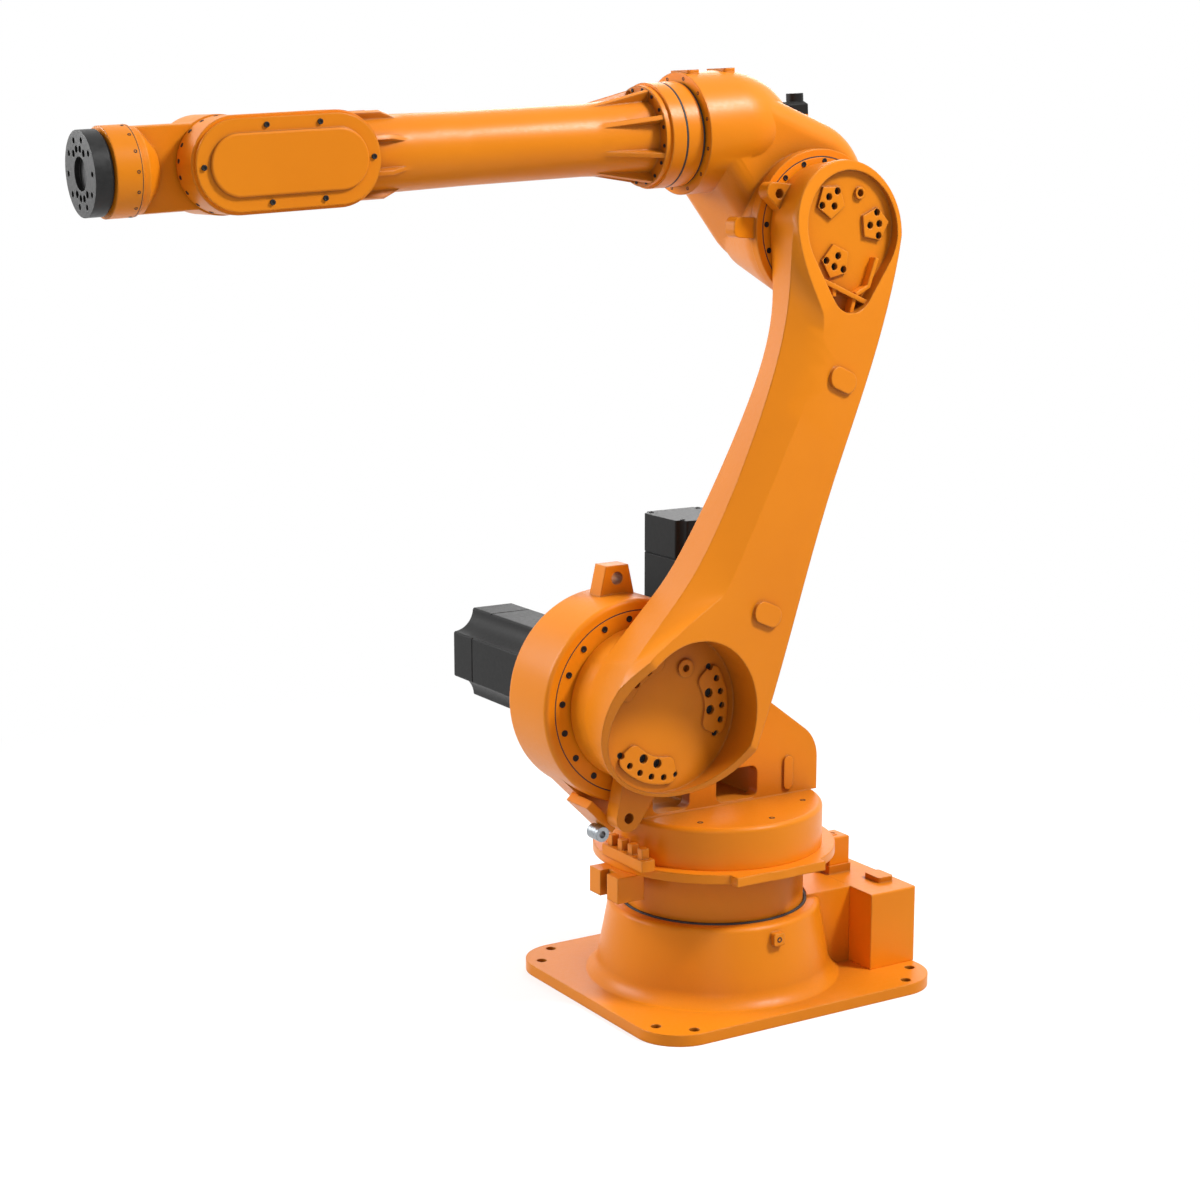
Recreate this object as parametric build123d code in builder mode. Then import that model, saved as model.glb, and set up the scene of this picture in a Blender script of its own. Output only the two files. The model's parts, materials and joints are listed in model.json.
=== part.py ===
from build123d import *
import os
from math import acos, atan2, cos, hypot, pi, radians, sin, tan

# A six-axis industrial robot arm. Millimetres, +Z up, +X the way the arm reaches.
# The origin is on the floor, on the waist axis, and +Y is the side that carries the lower arm.
os.makedirs("parts", exist_ok=True)

# Link lengths and the pose at rest
SHOULDER_REACH = 220
SHOULDER_HEIGHT = 556
LOWER_ARM_LENGTH = 850
ELBOW_OFFSET = 165
WRIST_REACH = 1015
FLANGE_REACH = 210.5
ARM_LEAN = 23.3
FOREARM_DROP = 3.25

# Clearances shared by all joints
FIT = 0.3
RUN_GAP = 6
END_GAP = 8

# Foot plate and pedestal
PLATE_LENGTH = 600
PLATE_WIDTH = 516
PLATE_CORNER = 80
PLATE_THICK = 20
PLATE_CENTRE_X = -27.5
FOOT_BOLT_EDGE_X = 28
FOOT_BOLT_CORNER_Y = 68.5
FOOT_BOLT_CORNER_X = 74.5
FOOT_BOLT_EDGE_Y = 22
FOOT_BOLT_HOLE = 18
PEDESTAL_HEIGHT = 155
SKIRT_RADIUS = 228
CONE_FOOT_RADIUS = 207
CONE_FOOT_RISE = 28
RIM_RADIUS = 189
RIM_ROUND = 9
WELL_RADIUS = 166
WELL_DEPTH = 26
WAIST_SPIGOT_RADIUS = 110
WAIST_SPIGOT_LENGTH = 50
PLUG_BOSS_SIZE = 22
PLUG_BOSS_ROUND = 4
PLUG_BOSS_RISE = 14
PLUG_BOSS_DROP = 24

# Connector box behind the pedestal
BOX_BACK_X = -333
BOX_FRONT_X = -231
BOX_WIDTH = 326
BOX_TOP_Z = 160
BOX_ROUND = 6
NECK_WIDTH = 200
BOX_PAD_LENGTH = 34
BOX_PAD_WIDTH = 44
BOX_PAD_HEIGHT = 10
BOX_PAD_X = -300
BOX_PAD_Y = 95

# Waist stop: a block on the base and a lug under the turning disc
STOP_BLOCK_X = -262
STOP_BLOCK_Y = 4
STOP_BLOCK_LENGTH = 44
STOP_BLOCK_WIDTH = 44
STOP_BLOCK_HEIGHT = 52
STOP_BLOCK_CHAMFER = 2
STOP_SEAT_HEIGHT = 16
STOP_SEAT_MARGIN = 5
STOP_LUG_WIDTH = 91
STOP_LUG_Y = 22
STOP_LUG_BACK_X = 190
STOP_LUG_FRONT_X = 244
STOP_LUG_HEIGHT = 45
STOP_LUG_GROOVE = 22
STOP_LUG_GROOVE_DEPTH = 18

# Turning disc and its neck
NECK_RADIUS = 160
DISC_BOTTOM_Z = 244
DISC_THICK = 16
DISC_RADIUS = 215
DISC_CORNER_Y = 213
DISC_CORNER_FRONT_X = 97
DISC_CORNER_BACK_X = -88

# Turret column: round foot, tower wall, shoulder drum
COLUMN_FOOT_RADIUS = 192
COLUMN_FOOT_HEIGHT = 75
COLUMN_FOOT_ROUND = 9
TOWER_FACE_Y = 44
TOWER_BACK_X = -193
TOWER_BACK_Z = 429
TOWER_BACK_ROUND = 70
TOWER_SLOPE = 37
TOWER_TOP_X = 90
TOWER_THICK = 56
TOWER_WALL = 24
SHELF_DEPTH = 216
DRUM_RADIUS = 175
DRUM_FACE_Y = 84
DRUM_BACK_Y = -41
DRUM_EDGE_ROUND = 8
DRUM_SLOPE = 45
WINDOW_FRONT_X = 26
WINDOW_BACK_X = -62
WINDOW_HEIGHT = 58
WINDOW_ROUND = 14
OPENING_FRONT_X = 158
OPENING_BACK_X = 82
OPENING_HEIGHT = 44
CAVITY_HEIGHT = 84
SILL = 4
TOWER_PAD_X = -128
TOWER_PAD_Z = 374
TOWER_PAD_LENGTH = 62
TOWER_PAD_WIDTH = 20
PAD_RAISE = 4
SHELF_TOP_Z = 420
SHELF_LENGTH = 160

# Lifting eye on the drum
EYE_BASE = 66
EYE_TOP = 44
EYE_RISE = 223
EYE_TOP_Z = SHOULDER_HEIGHT + EYE_RISE
EYE_FACE_Y = 26
EYE_THICK = 34
EYE_HOLE = 22
EYE_HOLE_DROP = 22

# Shoulder gear unit, its motor and the waist motor
SHOULDER_GEAR_RADIUS = 156
SHOULDER_GEAR_DEPTH = 60
SHOULDER_SPIGOT_RADIUS = 92
SHOULDER_SPIGOT_LENGTH = 40
SHOULDER_MOTOR_SIZE = 164
SHOULDER_MOTOR_LENGTH = 364
SHOULDER_MOTOR_SCOOP = 40
WAIST_MOTOR_SIZE = 130
WAIST_MOTOR_LENGTH = 279
WAIST_MOTOR_SCOOP = 14
WAIST_MOTOR_X = -17
WAIST_MOTOR_Y = -107
ADAPTER_RADIUS = 60
ADAPTER_HEIGHT = 130
MOTOR_EDGE_ROUND = 4
MOTOR_CAP_LENGTH = 70
MOTOR_SEAM = 3

# Shoulder stop bracket, its bush and the cable bracket on the disc
BRACKET_DROP = 209
BRACKET_Z = SHOULDER_HEIGHT - BRACKET_DROP
BRACKET_LENGTH = 70
BRACKET_THICK = 16
BRACKET_WIDTH = 46
BRACKET_HOLD = 20
BUSH_RADIUS = 13
BUSH_BORE = 12
BUSH_LENGTH = 30
CLEAT_COUNT = 4
CLEAT_PITCH = 32
CLEAT_SIZE = 14
CLEAT_HEIGHT = 18
CLEAT_BAR_DEPTH = 26
CLEAT_BAR_HEIGHT = 20
CLEAT_Y = 40

# Lower arm: its outer face falls toward the elbow, and the recess at the shoulder has a slanted mouth
HUB_RADIUS = 130
RIM_WALL = 18
ARM_INNER_Y = 133
ARM_OUTER_Y = 266
ARM_FACE_FALL = 2.4
ARM_FACE_TILT = 8
ARM_TOP_RADIUS = 106
ARM_TOP_OUTER_RADIUS = 111
ARM_WAIST_INNER = 24
ARM_WAIST_OUTER = -8
ARM_WAIST_EDGE = 42
ARM_EDGE_DEPTH = 34
ARM_WAIST_ALONG = 496
BACK_LOW_ALONG = 440
BACK_HIGH_DROP = 160
BACK_HIGH_ALONG = LOWER_ARM_LENGTH - BACK_HIGH_DROP
BACK_BULGE = 21
BACK_TURN = 15
FRONT_LOW_ALONG = 220
FRONT_LOW_RISE = 34
FRONT_HIGH_DROP = 148
FRONT_HIGH_ALONG = LOWER_ARM_LENGTH - FRONT_HIGH_DROP
FRONT_HIGH_RISE = 21
HEAD_SLOPE_DROP = 160
HEAD_SLOPE_ALONG = LOWER_ARM_LENGTH - HEAD_SLOPE_DROP
HEAD_SLOPE_Y = 240
HEAD_SLOPE = 7.5
RECESS_RADIUS = 135
RECESS_FLOOR_Y = 178
MOUTH_SLOPE = 26.5
MOUTH_LIP = 4
BOLT_PAD_COUNT = 3
BOLT_PAD_FIRST = 30
BOLT_PAD_RAISE = 5
HOLE_DEPTH = 12
KIDNEY_RADIUS = 97
KIDNEY_WIDTH = 46
KIDNEY_SPAN = 66
KIDNEY_ROUND = 15
KIDNEY_HOLE = 11
KIDNEY_HOLE_RADIUS = 108
KIDNEY_HOLE_COUNT = 6
KIDNEY_HOLE_STEP = 13
KIDNEY_PIN = 16
KIDNEY_PIN_RADIUS = 85
KIDNEY_PIN_COUNT = 2
KIDNEY_PIN_STEP = 20
PORT_RADIUS = 15
PORT_HOLE = 12
PORT_ALONG = 80
PORT_OUT = -5
POCKET_RADIUS = 96
POCKET_FLOOR_Y = 198
POCKET_BOTTOM_DROP = 132
POCKET_BOTTOM_ALONG = LOWER_ARM_LENGTH - POCKET_BOTTOM_DROP
POCKET_BOTTOM_RADIUS = 50
POCKET_BOTTOM_OUT = -28
POCKET_WEB_DROP = 98
POCKET_WEB_ALONG = LOWER_ARM_LENGTH - POCKET_WEB_DROP
POCKET_WEB_THICK = 8
POCKET_WEB_HEIGHT = 18
HOUSE_RADIUS = 57
HOUSE_SIZE = 29
HOUSE_SIDES = 5
HOUSE_HOLE = 12
HOUSE_HOLE_RADIUS = 66
HOUSE_HOLE_COUNT = 3
HOUSE_HOLE_STEP = 17
HOUSE_PIN_RADIUS = 47
HEAD_PORT_ALONG = 63.5
HEAD_PORT_RADIUS = 10
ARM_PAD_LENGTH = 62
ARM_PAD_WIDTH = 36
ARM_PAD_RAISE = 6
ARM_PAD_LOW_ALONG = 208
ARM_PAD_HIGH_DROP = 235
ARM_PAD_HIGH_ALONG = LOWER_ARM_LENGTH - ARM_PAD_HIGH_DROP
ARM_PAD_OUT = -76
LOW_LUG_ALONG = -187
LOW_LUG_OUT = -34
LOW_LUG_RADIUS = 24
LOW_LUG_HOLE = 18
LOW_LUG_Y = 100
LOW_LUG_THICK = 33
LOW_LUG_ROOT = 110
LOW_LUG_ROOT_RADIUS = 40
HIGH_LUG_ALONG = 11
HIGH_LUG_OUT = 112
HIGH_LUG_TIP = 34
HIGH_LUG_TIP_RADIUS = 15
HIGH_LUG_ROOT_RADIUS = 32
HIGH_LUG_HOLE = 16
HIGH_LUG_THICK = 24

# Elbow: a rounded body between the elbow axis and the roll axis
ELBOW_FACE_Y = 127
ELBOW_RIM_RADIUS = 130
ELBOW_RIM_DEPTH = 18
ELBOW_GEAR_RADIUS = 117
ELBOW_GEAR_DEPTH = 40
ELBOW_SPIGOT_RADIUS = 70
ELBOW_SPIGOT_LENGTH = 34
BARREL_FRONT_RADIUS = 124
BARREL_BACK_RADIUS = 80
BARREL_BACK_Y = -50
BODY_S = -20
BODY_H = -113
BODY_RADIUS = 126
BODY_FACE_Y = 90
BODY_BACK_Y = -95
BODY_ROUND = 44
BODY_NECK_S = 105
BODY_NECK_H = -10
BODY_NECK_RADIUS = 83
ROLL_SEAM = 193.5
ROLL_RADIUS = 100
DOME_START = 110
DOME_END = -31
ROLL_SPIGOT_RADIUS = 62
ROLL_SPIGOT_LENGTH = 40
ELBOW_MOTOR_S = -80
ELBOW_MOTOR_H = -125
ELBOW_MOTOR_SIZE = 100
ELBOW_MOTOR_LENGTH = 140
ELBOW_MOTOR_SCOOP = 14
MOTOR_SEAT_RADIUS = 62
MOTOR_SEAT_RAISE = 10
MOTOR_SEAT_DEPTH = 60
STOP_BOSS_S = 115
STOP_BOSS_H = -158
STOP_BOSS_LENGTH = 110
STOP_BOSS_HEIGHT = 34
STOP_BOSS_ROUND = 12
STOP_BOSS_TURN = 7
STOP_BOSS_Y = 121
STOP_BOSS_THICK = 26
TOP_BOSS_S = 138
TOP_BOSS_PITCH = 72
TOP_BOSS_LENGTH = 24
TOP_BOSS_WIDTH = 56
TOP_BOSS_ROUND = 6
TOP_BOSS_RISE = 3
TOP_BOSS_ROOT = 20
PLUG_S = -84
PLUG_Y = -58
PLUG_LENGTH = 44
PLUG_WIDTH = 38
PLUG_SEAT_H = 18
PLUG_SEAT_DEPTH = 60
PLUG_HEIGHT = 22
PLUG_CHAMFER = 5
PLUG_CAP_LENGTH = 30
PLUG_CAP_HEIGHT = 14
PLUG_CAP_SHIFT = -8

# Forearm
COLLAR_LENGTH = 58
ROLL_COLLAR = 86
COLLAR_GROOVE = 3
COLLAR_GROOVE_DROP = 2.5
CASTING_FLANGE = 82
CASTING_FLANGE_LENGTH = 11
TUBE_RADIUS = 58
TUBE_START = 385
TUBE_END_BACK = 415
TUBE_END = WRIST_REACH - TUBE_END_BACK
FLARE_ROOT_RADIUS = 63
FLARE_RADIUS = 60
FLARE_END_BACK = 260
FLARE_END = WRIST_REACH - FLARE_END_BACK
FIN_COUNT = 8
FIN_THICK = 8
FIN_ROOT_RADIUS = 80
FIN_END = 650
FIN_HEAD_BACK = 425
FIN_HEAD_START = WRIST_REACH - FIN_HEAD_BACK
FIN_HEAD_RADIUS = 71
CASE_LENGTH = 305
CASE_HEIGHT = 144
CASE_INNER_Y = 22
CASE_OUTER_Y = 79
FORK_CLEAR = 38
COVER_THICK = 8
COVER_MARGIN = 9
PLATEAU_MARGIN = 26
PLATEAU_THICK = 6
COVER_EDGE_ROUND = 3

# Wrist and tool flange
WRIST_HUB_RADIUS = 74
WRIST_HUB_BACK_Y = -68
BEND_SPIGOT_RADIUS = 46
BEND_SPIGOT_LENGTH = 30
WRIST_BODY_RADIUS = 64
WRIST_CONE_START = 103
WRIST_CONE_RADIUS = 36
WRIST_CONE_END = 128
WRIST_BODY_END = 138
WRIST_COLLAR_RADIUS = 67
FLANGE_RADIUS = 63
FLANGE_THICK = 25
TWIST_SPIGOT_RADIUS = 40
TWIST_SPIGOT_LENGTH = 24
FLANGE_BORE = 50
FLANGE_BORE_DEPTH = 8
FLANGE_BOLT_CIRCLE = 100
FLANGE_BOLT_HOLE = 9
FLANGE_BOLT_COUNT = 10
FLANGE_TOOL_CIRCLE = 72
FLANGE_TOOL_HOLE = 11
FLANGE_TOOL_ROW = 4
FLANGE_TOOL_STEP = 24
FLANGE_TOOL_DEPTH = 14

# Frames of the links: first axis forward, second axis up, third axis away from the arm's side
QUARTER_TURN = 90
TO_BACK = (0, -1, 0)
TO_FACE = (0, 1, 0)
lean = radians(ARM_LEAN)
drop = radians(FOREARM_DROP)
shoulder = Plane(origin=(SHOULDER_REACH, 0, SHOULDER_HEIGHT), x_dir=(1, 0, 0), z_dir=TO_BACK)
arm = Plane(origin=shoulder.origin, x_dir=(cos(lean), 0, sin(lean)), z_dir=TO_BACK)
elbow = Plane(
    origin=arm.from_local_coords((0, LOWER_ARM_LENGTH, 0)),
    x_dir=(cos(drop), 0, -sin(drop)),
    z_dir=TO_BACK,
)
fore = Plane(origin=elbow.from_local_coords((0, ELBOW_OFFSET, 0)), x_dir=elbow.x_dir, z_dir=TO_BACK)
bend = Plane(origin=fore.from_local_coords((WRIST_REACH, 0, 0)), x_dir=fore.x_dir, z_dir=TO_BACK)


def side(frame, y):
    """The frame's side plane at the given distance out from the robot's middle."""
    return frame.offset(-y)


def square_to(frame, along):
    """A plane square to the frame's first axis, with its own axes out to the face and up."""
    return Plane(origin=frame.from_local_coords((along, 0, 0)), x_dir=TO_FACE, z_dir=frame.x_dir)


def through_axis(frame):
    """A plane that holds the frame's cross axis: first axis forward, second axis out to the face."""
    return Plane(origin=frame.origin, x_dir=frame.x_dir, z_dir=frame.y_dir)


def cross_axis(frame):
    """The axis of a shoulder, elbow or wrist bend."""
    return Axis(frame.origin, TO_FACE)


def roll_axis(frame):
    """The axis along a link."""
    return Axis(frame.origin, frame.x_dir)


def save(piece, name):
    """Label a finished piece and write its file."""
    piece.part.label = name
    export_step(piece.part, f"parts/{name}.step")


# Base casting: foot plate, turned pedestal and the neck to the connector box
end_bolts_x = PLATE_LENGTH - 2 * FOOT_BOLT_EDGE_X
end_bolts_y = PLATE_WIDTH - 2 * FOOT_BOLT_CORNER_Y
side_bolts_x = PLATE_LENGTH - 2 * FOOT_BOLT_CORNER_X
side_bolts_y = PLATE_WIDTH - 2 * FOOT_BOLT_EDGE_Y
with BuildPart() as base_casting:
    with BuildSketch(Plane.XY):
        with Locations((PLATE_CENTRE_X, 0)):
            RectangleRounded(PLATE_LENGTH, PLATE_WIDTH, PLATE_CORNER)
    extrude(amount=PLATE_THICK)
    cone_foot = (CONE_FOOT_RADIUS, PLATE_THICK + CONE_FOOT_RISE)
    cone_top = (RIM_RADIUS, PEDESTAL_HEIGHT - RIM_ROUND)
    cone_up = (RIM_RADIUS - CONE_FOOT_RADIUS, cone_top[1] - cone_foot[1])
    cone_down = (-cone_up[0], -cone_up[1])
    with BuildSketch(Plane.XZ):
        with BuildLine():
            Line((0, PLATE_THICK), (SKIRT_RADIUS, PLATE_THICK))
            TangentArc(cone_foot, (SKIRT_RADIUS, PLATE_THICK), tangent=cone_down)
            Line(cone_foot, cone_top)
            TangentArc(cone_top, (RIM_RADIUS - RIM_ROUND, PEDESTAL_HEIGHT), tangent=cone_up)
            Line((RIM_RADIUS - RIM_ROUND, PEDESTAL_HEIGHT), (0, PEDESTAL_HEIGHT))
            Line((0, PEDESTAL_HEIGHT), (0, PLATE_THICK))
        make_face()
    revolve(axis=Axis.Z)
    with BuildSketch(Plane.XY.offset(PLATE_THICK)):
        with Locations((BOX_FRONT_X, 0)):
            Rectangle(-BOX_FRONT_X, NECK_WIDTH, align=(Align.MIN, Align.CENTER))
    extrude(amount=BOX_TOP_Z - PLATE_THICK)
    with BuildSketch(Plane.XY.offset(BOX_TOP_Z)):
        Circle(WELL_RADIUS)
    extrude(amount=-(BOX_TOP_Z - PEDESTAL_HEIGHT + WELL_DEPTH), mode=Mode.SUBTRACT)
    with BuildSketch(Plane.XY.offset(PEDESTAL_HEIGHT - WELL_DEPTH)):
        Circle(WAIST_SPIGOT_RADIUS + FIT)
    extrude(amount=-(WAIST_SPIGOT_LENGTH + END_GAP), mode=Mode.SUBTRACT)
    with BuildSketch(Plane.XY):
        with Locations((PLATE_CENTRE_X, 0)):
            with GridLocations(end_bolts_x, end_bolts_y, 2, 2):
                Circle(FOOT_BOLT_HOLE / 2)
            with GridLocations(side_bolts_x, side_bolts_y, 2, 2):
                Circle(FOOT_BOLT_HOLE / 2)
    extrude(amount=PLATE_THICK, mode=Mode.SUBTRACT)
    with BuildSketch(Plane.XZ.offset(-(RIM_RADIUS + PLUG_BOSS_RISE))):
        with Locations((0, PEDESTAL_HEIGHT - PLUG_BOSS_DROP)):
            RectangleRounded(PLUG_BOSS_SIZE, PLUG_BOSS_SIZE, PLUG_BOSS_ROUND)
    extrude(amount=PLUG_BOSS_SIZE)
save(base_casting, "base_casting")

# Connector box on the back of the foot plate
with BuildPart() as connector_box:
    with BuildSketch(Plane.XY.offset(PLATE_THICK)):
        with Locations((BOX_BACK_X, 0)):
            Rectangle(BOX_FRONT_X - BOX_BACK_X, BOX_WIDTH, align=(Align.MIN, Align.CENTER))
    extrude(amount=BOX_TOP_Z - PLATE_THICK)
    fillet(connector_box.edges().filter_by(Axis.Z).group_by(Axis.X)[0], radius=BOX_ROUND)
    fillet(connector_box.faces().sort_by(Axis.Z)[-1].edges().group_by(Axis.X)[0], radius=BOX_ROUND / 2)
    with BuildSketch(Plane.XY.offset(BOX_TOP_Z)):
        with Locations((BOX_PAD_X, BOX_PAD_Y)):
            RectangleRounded(BOX_PAD_LENGTH, BOX_PAD_WIDTH, BOX_ROUND)
    extrude(amount=BOX_PAD_HEIGHT)
    with BuildSketch(Plane.XY.offset(BOX_TOP_Z)):
        with Locations((STOP_BLOCK_X, STOP_BLOCK_Y)):
            Rectangle(STOP_BLOCK_LENGTH + STOP_SEAT_MARGIN, STOP_BLOCK_WIDTH + STOP_SEAT_MARGIN)
    extrude(amount=STOP_SEAT_HEIGHT)
save(connector_box, "connector_box")

# Fixed stop block of the waist
with BuildPart() as waist_stop_block:
    with BuildSketch(Plane.XY.offset(BOX_TOP_Z + STOP_SEAT_HEIGHT)):
        with Locations((STOP_BLOCK_X, STOP_BLOCK_Y)):
            Rectangle(STOP_BLOCK_LENGTH, STOP_BLOCK_WIDTH)
    extrude(amount=STOP_BLOCK_HEIGHT)
    chamfer(waist_stop_block.faces().sort_by(Axis.Z)[-1].edges(), length=STOP_BLOCK_CHAMFER)
save(waist_stop_block, "waist_stop_block")

# Turning disc: neck in the pedestal's well, spigot below it, disc with its squared corner above
neck_bottom_z = PEDESTAL_HEIGHT - WELL_DEPTH + RUN_GAP
disc_top_z = DISC_BOTTOM_Z + DISC_THICK
with BuildPart() as turning_disc:
    with BuildSketch(Plane.XY.offset(neck_bottom_z)):
        Circle(NECK_RADIUS)
    extrude(amount=DISC_BOTTOM_Z - neck_bottom_z)
    with BuildSketch(Plane.XY.offset(neck_bottom_z)):
        Circle(WAIST_SPIGOT_RADIUS)
    extrude(amount=-(RUN_GAP + WAIST_SPIGOT_LENGTH))
    with BuildSketch(Plane.XY.offset(DISC_BOTTOM_Z)):
        Circle(DISC_RADIUS)
        with Locations((DISC_CORNER_BACK_X, 0)):
            Rectangle(DISC_CORNER_FRONT_X - DISC_CORNER_BACK_X, DISC_CORNER_Y, align=(Align.MIN, Align.MIN))
    extrude(amount=DISC_THICK)
save(turning_disc, "turning_disc")

# Moving stop lug of the waist, grooved down its front
with BuildPart() as waist_stop_lug:
    with BuildSketch(Plane.XY.offset(DISC_BOTTOM_Z)):
        with Locations((STOP_LUG_FRONT_X, STOP_LUG_Y)):
            Rectangle(STOP_LUG_FRONT_X - STOP_LUG_BACK_X, STOP_LUG_WIDTH, align=(Align.MAX, Align.CENTER))
            Rectangle(
                STOP_LUG_GROOVE_DEPTH, STOP_LUG_GROOVE, align=(Align.MAX, Align.CENTER), mode=Mode.SUBTRACT
            )
    extrude(amount=-STOP_LUG_HEIGHT)
save(waist_stop_lug, "waist_stop_lug")

# Turret column: round foot, tower wall with its windows, drum for the shoulder gear
foot_top_z = disc_top_z + COLUMN_FOOT_HEIGHT
slope = radians(DRUM_SLOPE)
drum_low = (SHOULDER_REACH + DRUM_RADIUS * sin(slope), SHOULDER_HEIGHT - DRUM_RADIUS * cos(slope))
tower_top = (TOWER_TOP_X, TOWER_BACK_Z + (TOWER_TOP_X - TOWER_BACK_X) * tan(radians(TOWER_SLOPE)))
front_foot_x = drum_low[0] - (drum_low[1] - BRACKET_Z) / tan(slope)
with BuildPart() as turret_column:
    with BuildSketch(Plane.XY.offset(disc_top_z)):
        Circle(COLUMN_FOOT_RADIUS)
    extrude(amount=COLUMN_FOOT_HEIGHT)
    fillet(turret_column.faces().sort_by(Axis.Z)[-1].edges(), radius=COLUMN_FOOT_ROUND)
    with BuildSketch(Plane.XZ.offset(-TOWER_FACE_Y)) as tower_profile:
        with BuildLine():
            FilletPolyline(
                (TOWER_BACK_X, foot_top_z),
                (TOWER_BACK_X, TOWER_BACK_Z),
                tower_top,
                radius=TOWER_BACK_ROUND,
            )
            Line(tower_top, drum_low)
            Line(drum_low, (front_foot_x, BRACKET_Z))
            Line((front_foot_x, BRACKET_Z), (front_foot_x, foot_top_z))
            Line((front_foot_x, foot_top_z), (TOWER_BACK_X, foot_top_z))
        make_face()
    extrude(amount=TOWER_THICK)
    with BuildSketch(Plane.XY.offset(foot_top_z)):
        with Locations((WAIST_MOTOR_X, TOWER_FACE_Y)):
            Rectangle(SHELF_LENGTH, SHELF_DEPTH, align=(Align.CENTER, Align.MAX))
    extrude(amount=SHELF_TOP_Z - foot_top_z)
    with BuildSketch(through_axis(shoulder)) as drum_profile:
        with Locations((0, DRUM_BACK_Y)):
            Rectangle(DRUM_RADIUS, DRUM_FACE_Y - DRUM_BACK_Y, align=(Align.MIN, Align.MIN))
        fillet(drum_profile.vertices().group_by(Axis.X)[-1], radius=DRUM_EDGE_ROUND)
    revolve(axis=cross_axis(shoulder))
    with BuildSketch(side(shoulder, DRUM_FACE_Y)):
        Circle(SHOULDER_GEAR_RADIUS)
    extrude(amount=SHOULDER_GEAR_DEPTH, mode=Mode.SUBTRACT)
    eye_top = EYE_TOP_Z - SHOULDER_HEIGHT
    eye_foot = (DRUM_RADIUS + SHOULDER_GEAR_RADIUS) / 2
    with BuildSketch(side(shoulder, EYE_FACE_Y)):
        with BuildLine():
            Polyline(
                (-EYE_BASE / 2, eye_foot),
                (-EYE_BASE / 2, DRUM_RADIUS),
                (-EYE_TOP / 2, eye_top),
                (EYE_TOP / 2, eye_top),
                (EYE_BASE / 2, DRUM_RADIUS),
                (EYE_BASE / 2, eye_foot),
                close=True,
            )
        make_face()
        with Locations((0, eye_top - EYE_HOLE_DROP)):
            Circle(EYE_HOLE / 2, mode=Mode.SUBTRACT)
    extrude(amount=EYE_THICK)
    with BuildSketch(Plane.XZ.offset(-TOWER_FACE_Y)):
        with Locations((TOWER_PAD_X, TOWER_PAD_Z)):
            SlotOverall(TOWER_PAD_LENGTH, TOWER_PAD_WIDTH, rotation=90)
    extrude(amount=-PAD_RAISE)
    sill_z = foot_top_z + SILL
    with BuildSketch(Plane.XY.offset(sill_z)):
        with Locations((WINDOW_BACK_X, TOWER_FACE_Y - TOWER_WALL)):
            Rectangle(
                OPENING_FRONT_X - WINDOW_BACK_X,
                SHELF_DEPTH - 2 * TOWER_WALL,
                align=(Align.MIN, Align.MAX),
            )
    extrude(amount=CAVITY_HEIGHT, mode=Mode.SUBTRACT)
    with BuildSketch(Plane.XZ.offset(-TOWER_FACE_Y)):
        with Locations(((WINDOW_FRONT_X + WINDOW_BACK_X) / 2, sill_z + WINDOW_HEIGHT / 2)):
            RectangleRounded(WINDOW_FRONT_X - WINDOW_BACK_X, WINDOW_HEIGHT, WINDOW_ROUND)
        with Locations(((OPENING_FRONT_X + OPENING_BACK_X) / 2, sill_z + OPENING_HEIGHT / 2)):
            RectangleRounded(OPENING_FRONT_X - OPENING_BACK_X, OPENING_HEIGHT, WINDOW_ROUND)
    extrude(amount=2 * TOWER_WALL, mode=Mode.SUBTRACT)
save(turret_column, "turret_column")

# Shoulder gear unit in the drum, bored for the arm's spigot
with BuildPart() as shoulder_gear:
    with BuildSketch(side(shoulder, DRUM_FACE_Y)):
        Circle(SHOULDER_GEAR_RADIUS - FIT)
        Circle(SHOULDER_SPIGOT_RADIUS + FIT, mode=Mode.SUBTRACT)
    extrude(amount=SHOULDER_GEAR_DEPTH)
save(shoulder_gear, "shoulder_gear")


def build_motor(plane, size, length, scoop):
    """A square motor with scooped corners and a seam below its end cap, standing on the given plane."""
    with BuildPart() as motor:
        with BuildSketch(plane) as body:
            Rectangle(size, size)
            with GridLocations(size, size, 2, 2):
                Circle(scoop, mode=Mode.SUBTRACT)
            fillet(body.vertices(), radius=MOTOR_EDGE_ROUND)
        extrude(amount=length)
        cap_plane = plane.offset(length - MOTOR_CAP_LENGTH)
        with BuildSketch(cap_plane):
            Rectangle(size, size)
            Rectangle(size - 2 * MOTOR_SEAM, size - 2 * MOTOR_SEAM, mode=Mode.SUBTRACT)
        extrude(amount=MOTOR_SEAM, mode=Mode.SUBTRACT)
    return motor


shoulder_motor = build_motor(
    side(shoulder, DRUM_BACK_Y), SHOULDER_MOTOR_SIZE, SHOULDER_MOTOR_LENGTH, SHOULDER_MOTOR_SCOOP
)
save(shoulder_motor, "shoulder_motor")

# Waist motor on its round adapter, on the shelf behind the tower wall
with BuildPart() as waist_motor_adapter:
    with BuildSketch(Plane.XY.offset(SHELF_TOP_Z)):
        with Locations((WAIST_MOTOR_X, WAIST_MOTOR_Y)):
            Circle(ADAPTER_RADIUS)
    extrude(amount=ADAPTER_HEIGHT)
    with BuildSketch(Plane.XY.offset(SHELF_TOP_Z + ADAPTER_HEIGHT)):
        with Locations((WAIST_MOTOR_X, WAIST_MOTOR_Y)):
            Rectangle(WAIST_MOTOR_SIZE, WAIST_MOTOR_SIZE)
    extrude(amount=-BRACKET_THICK)
save(waist_motor_adapter, "waist_motor_adapter")

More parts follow.
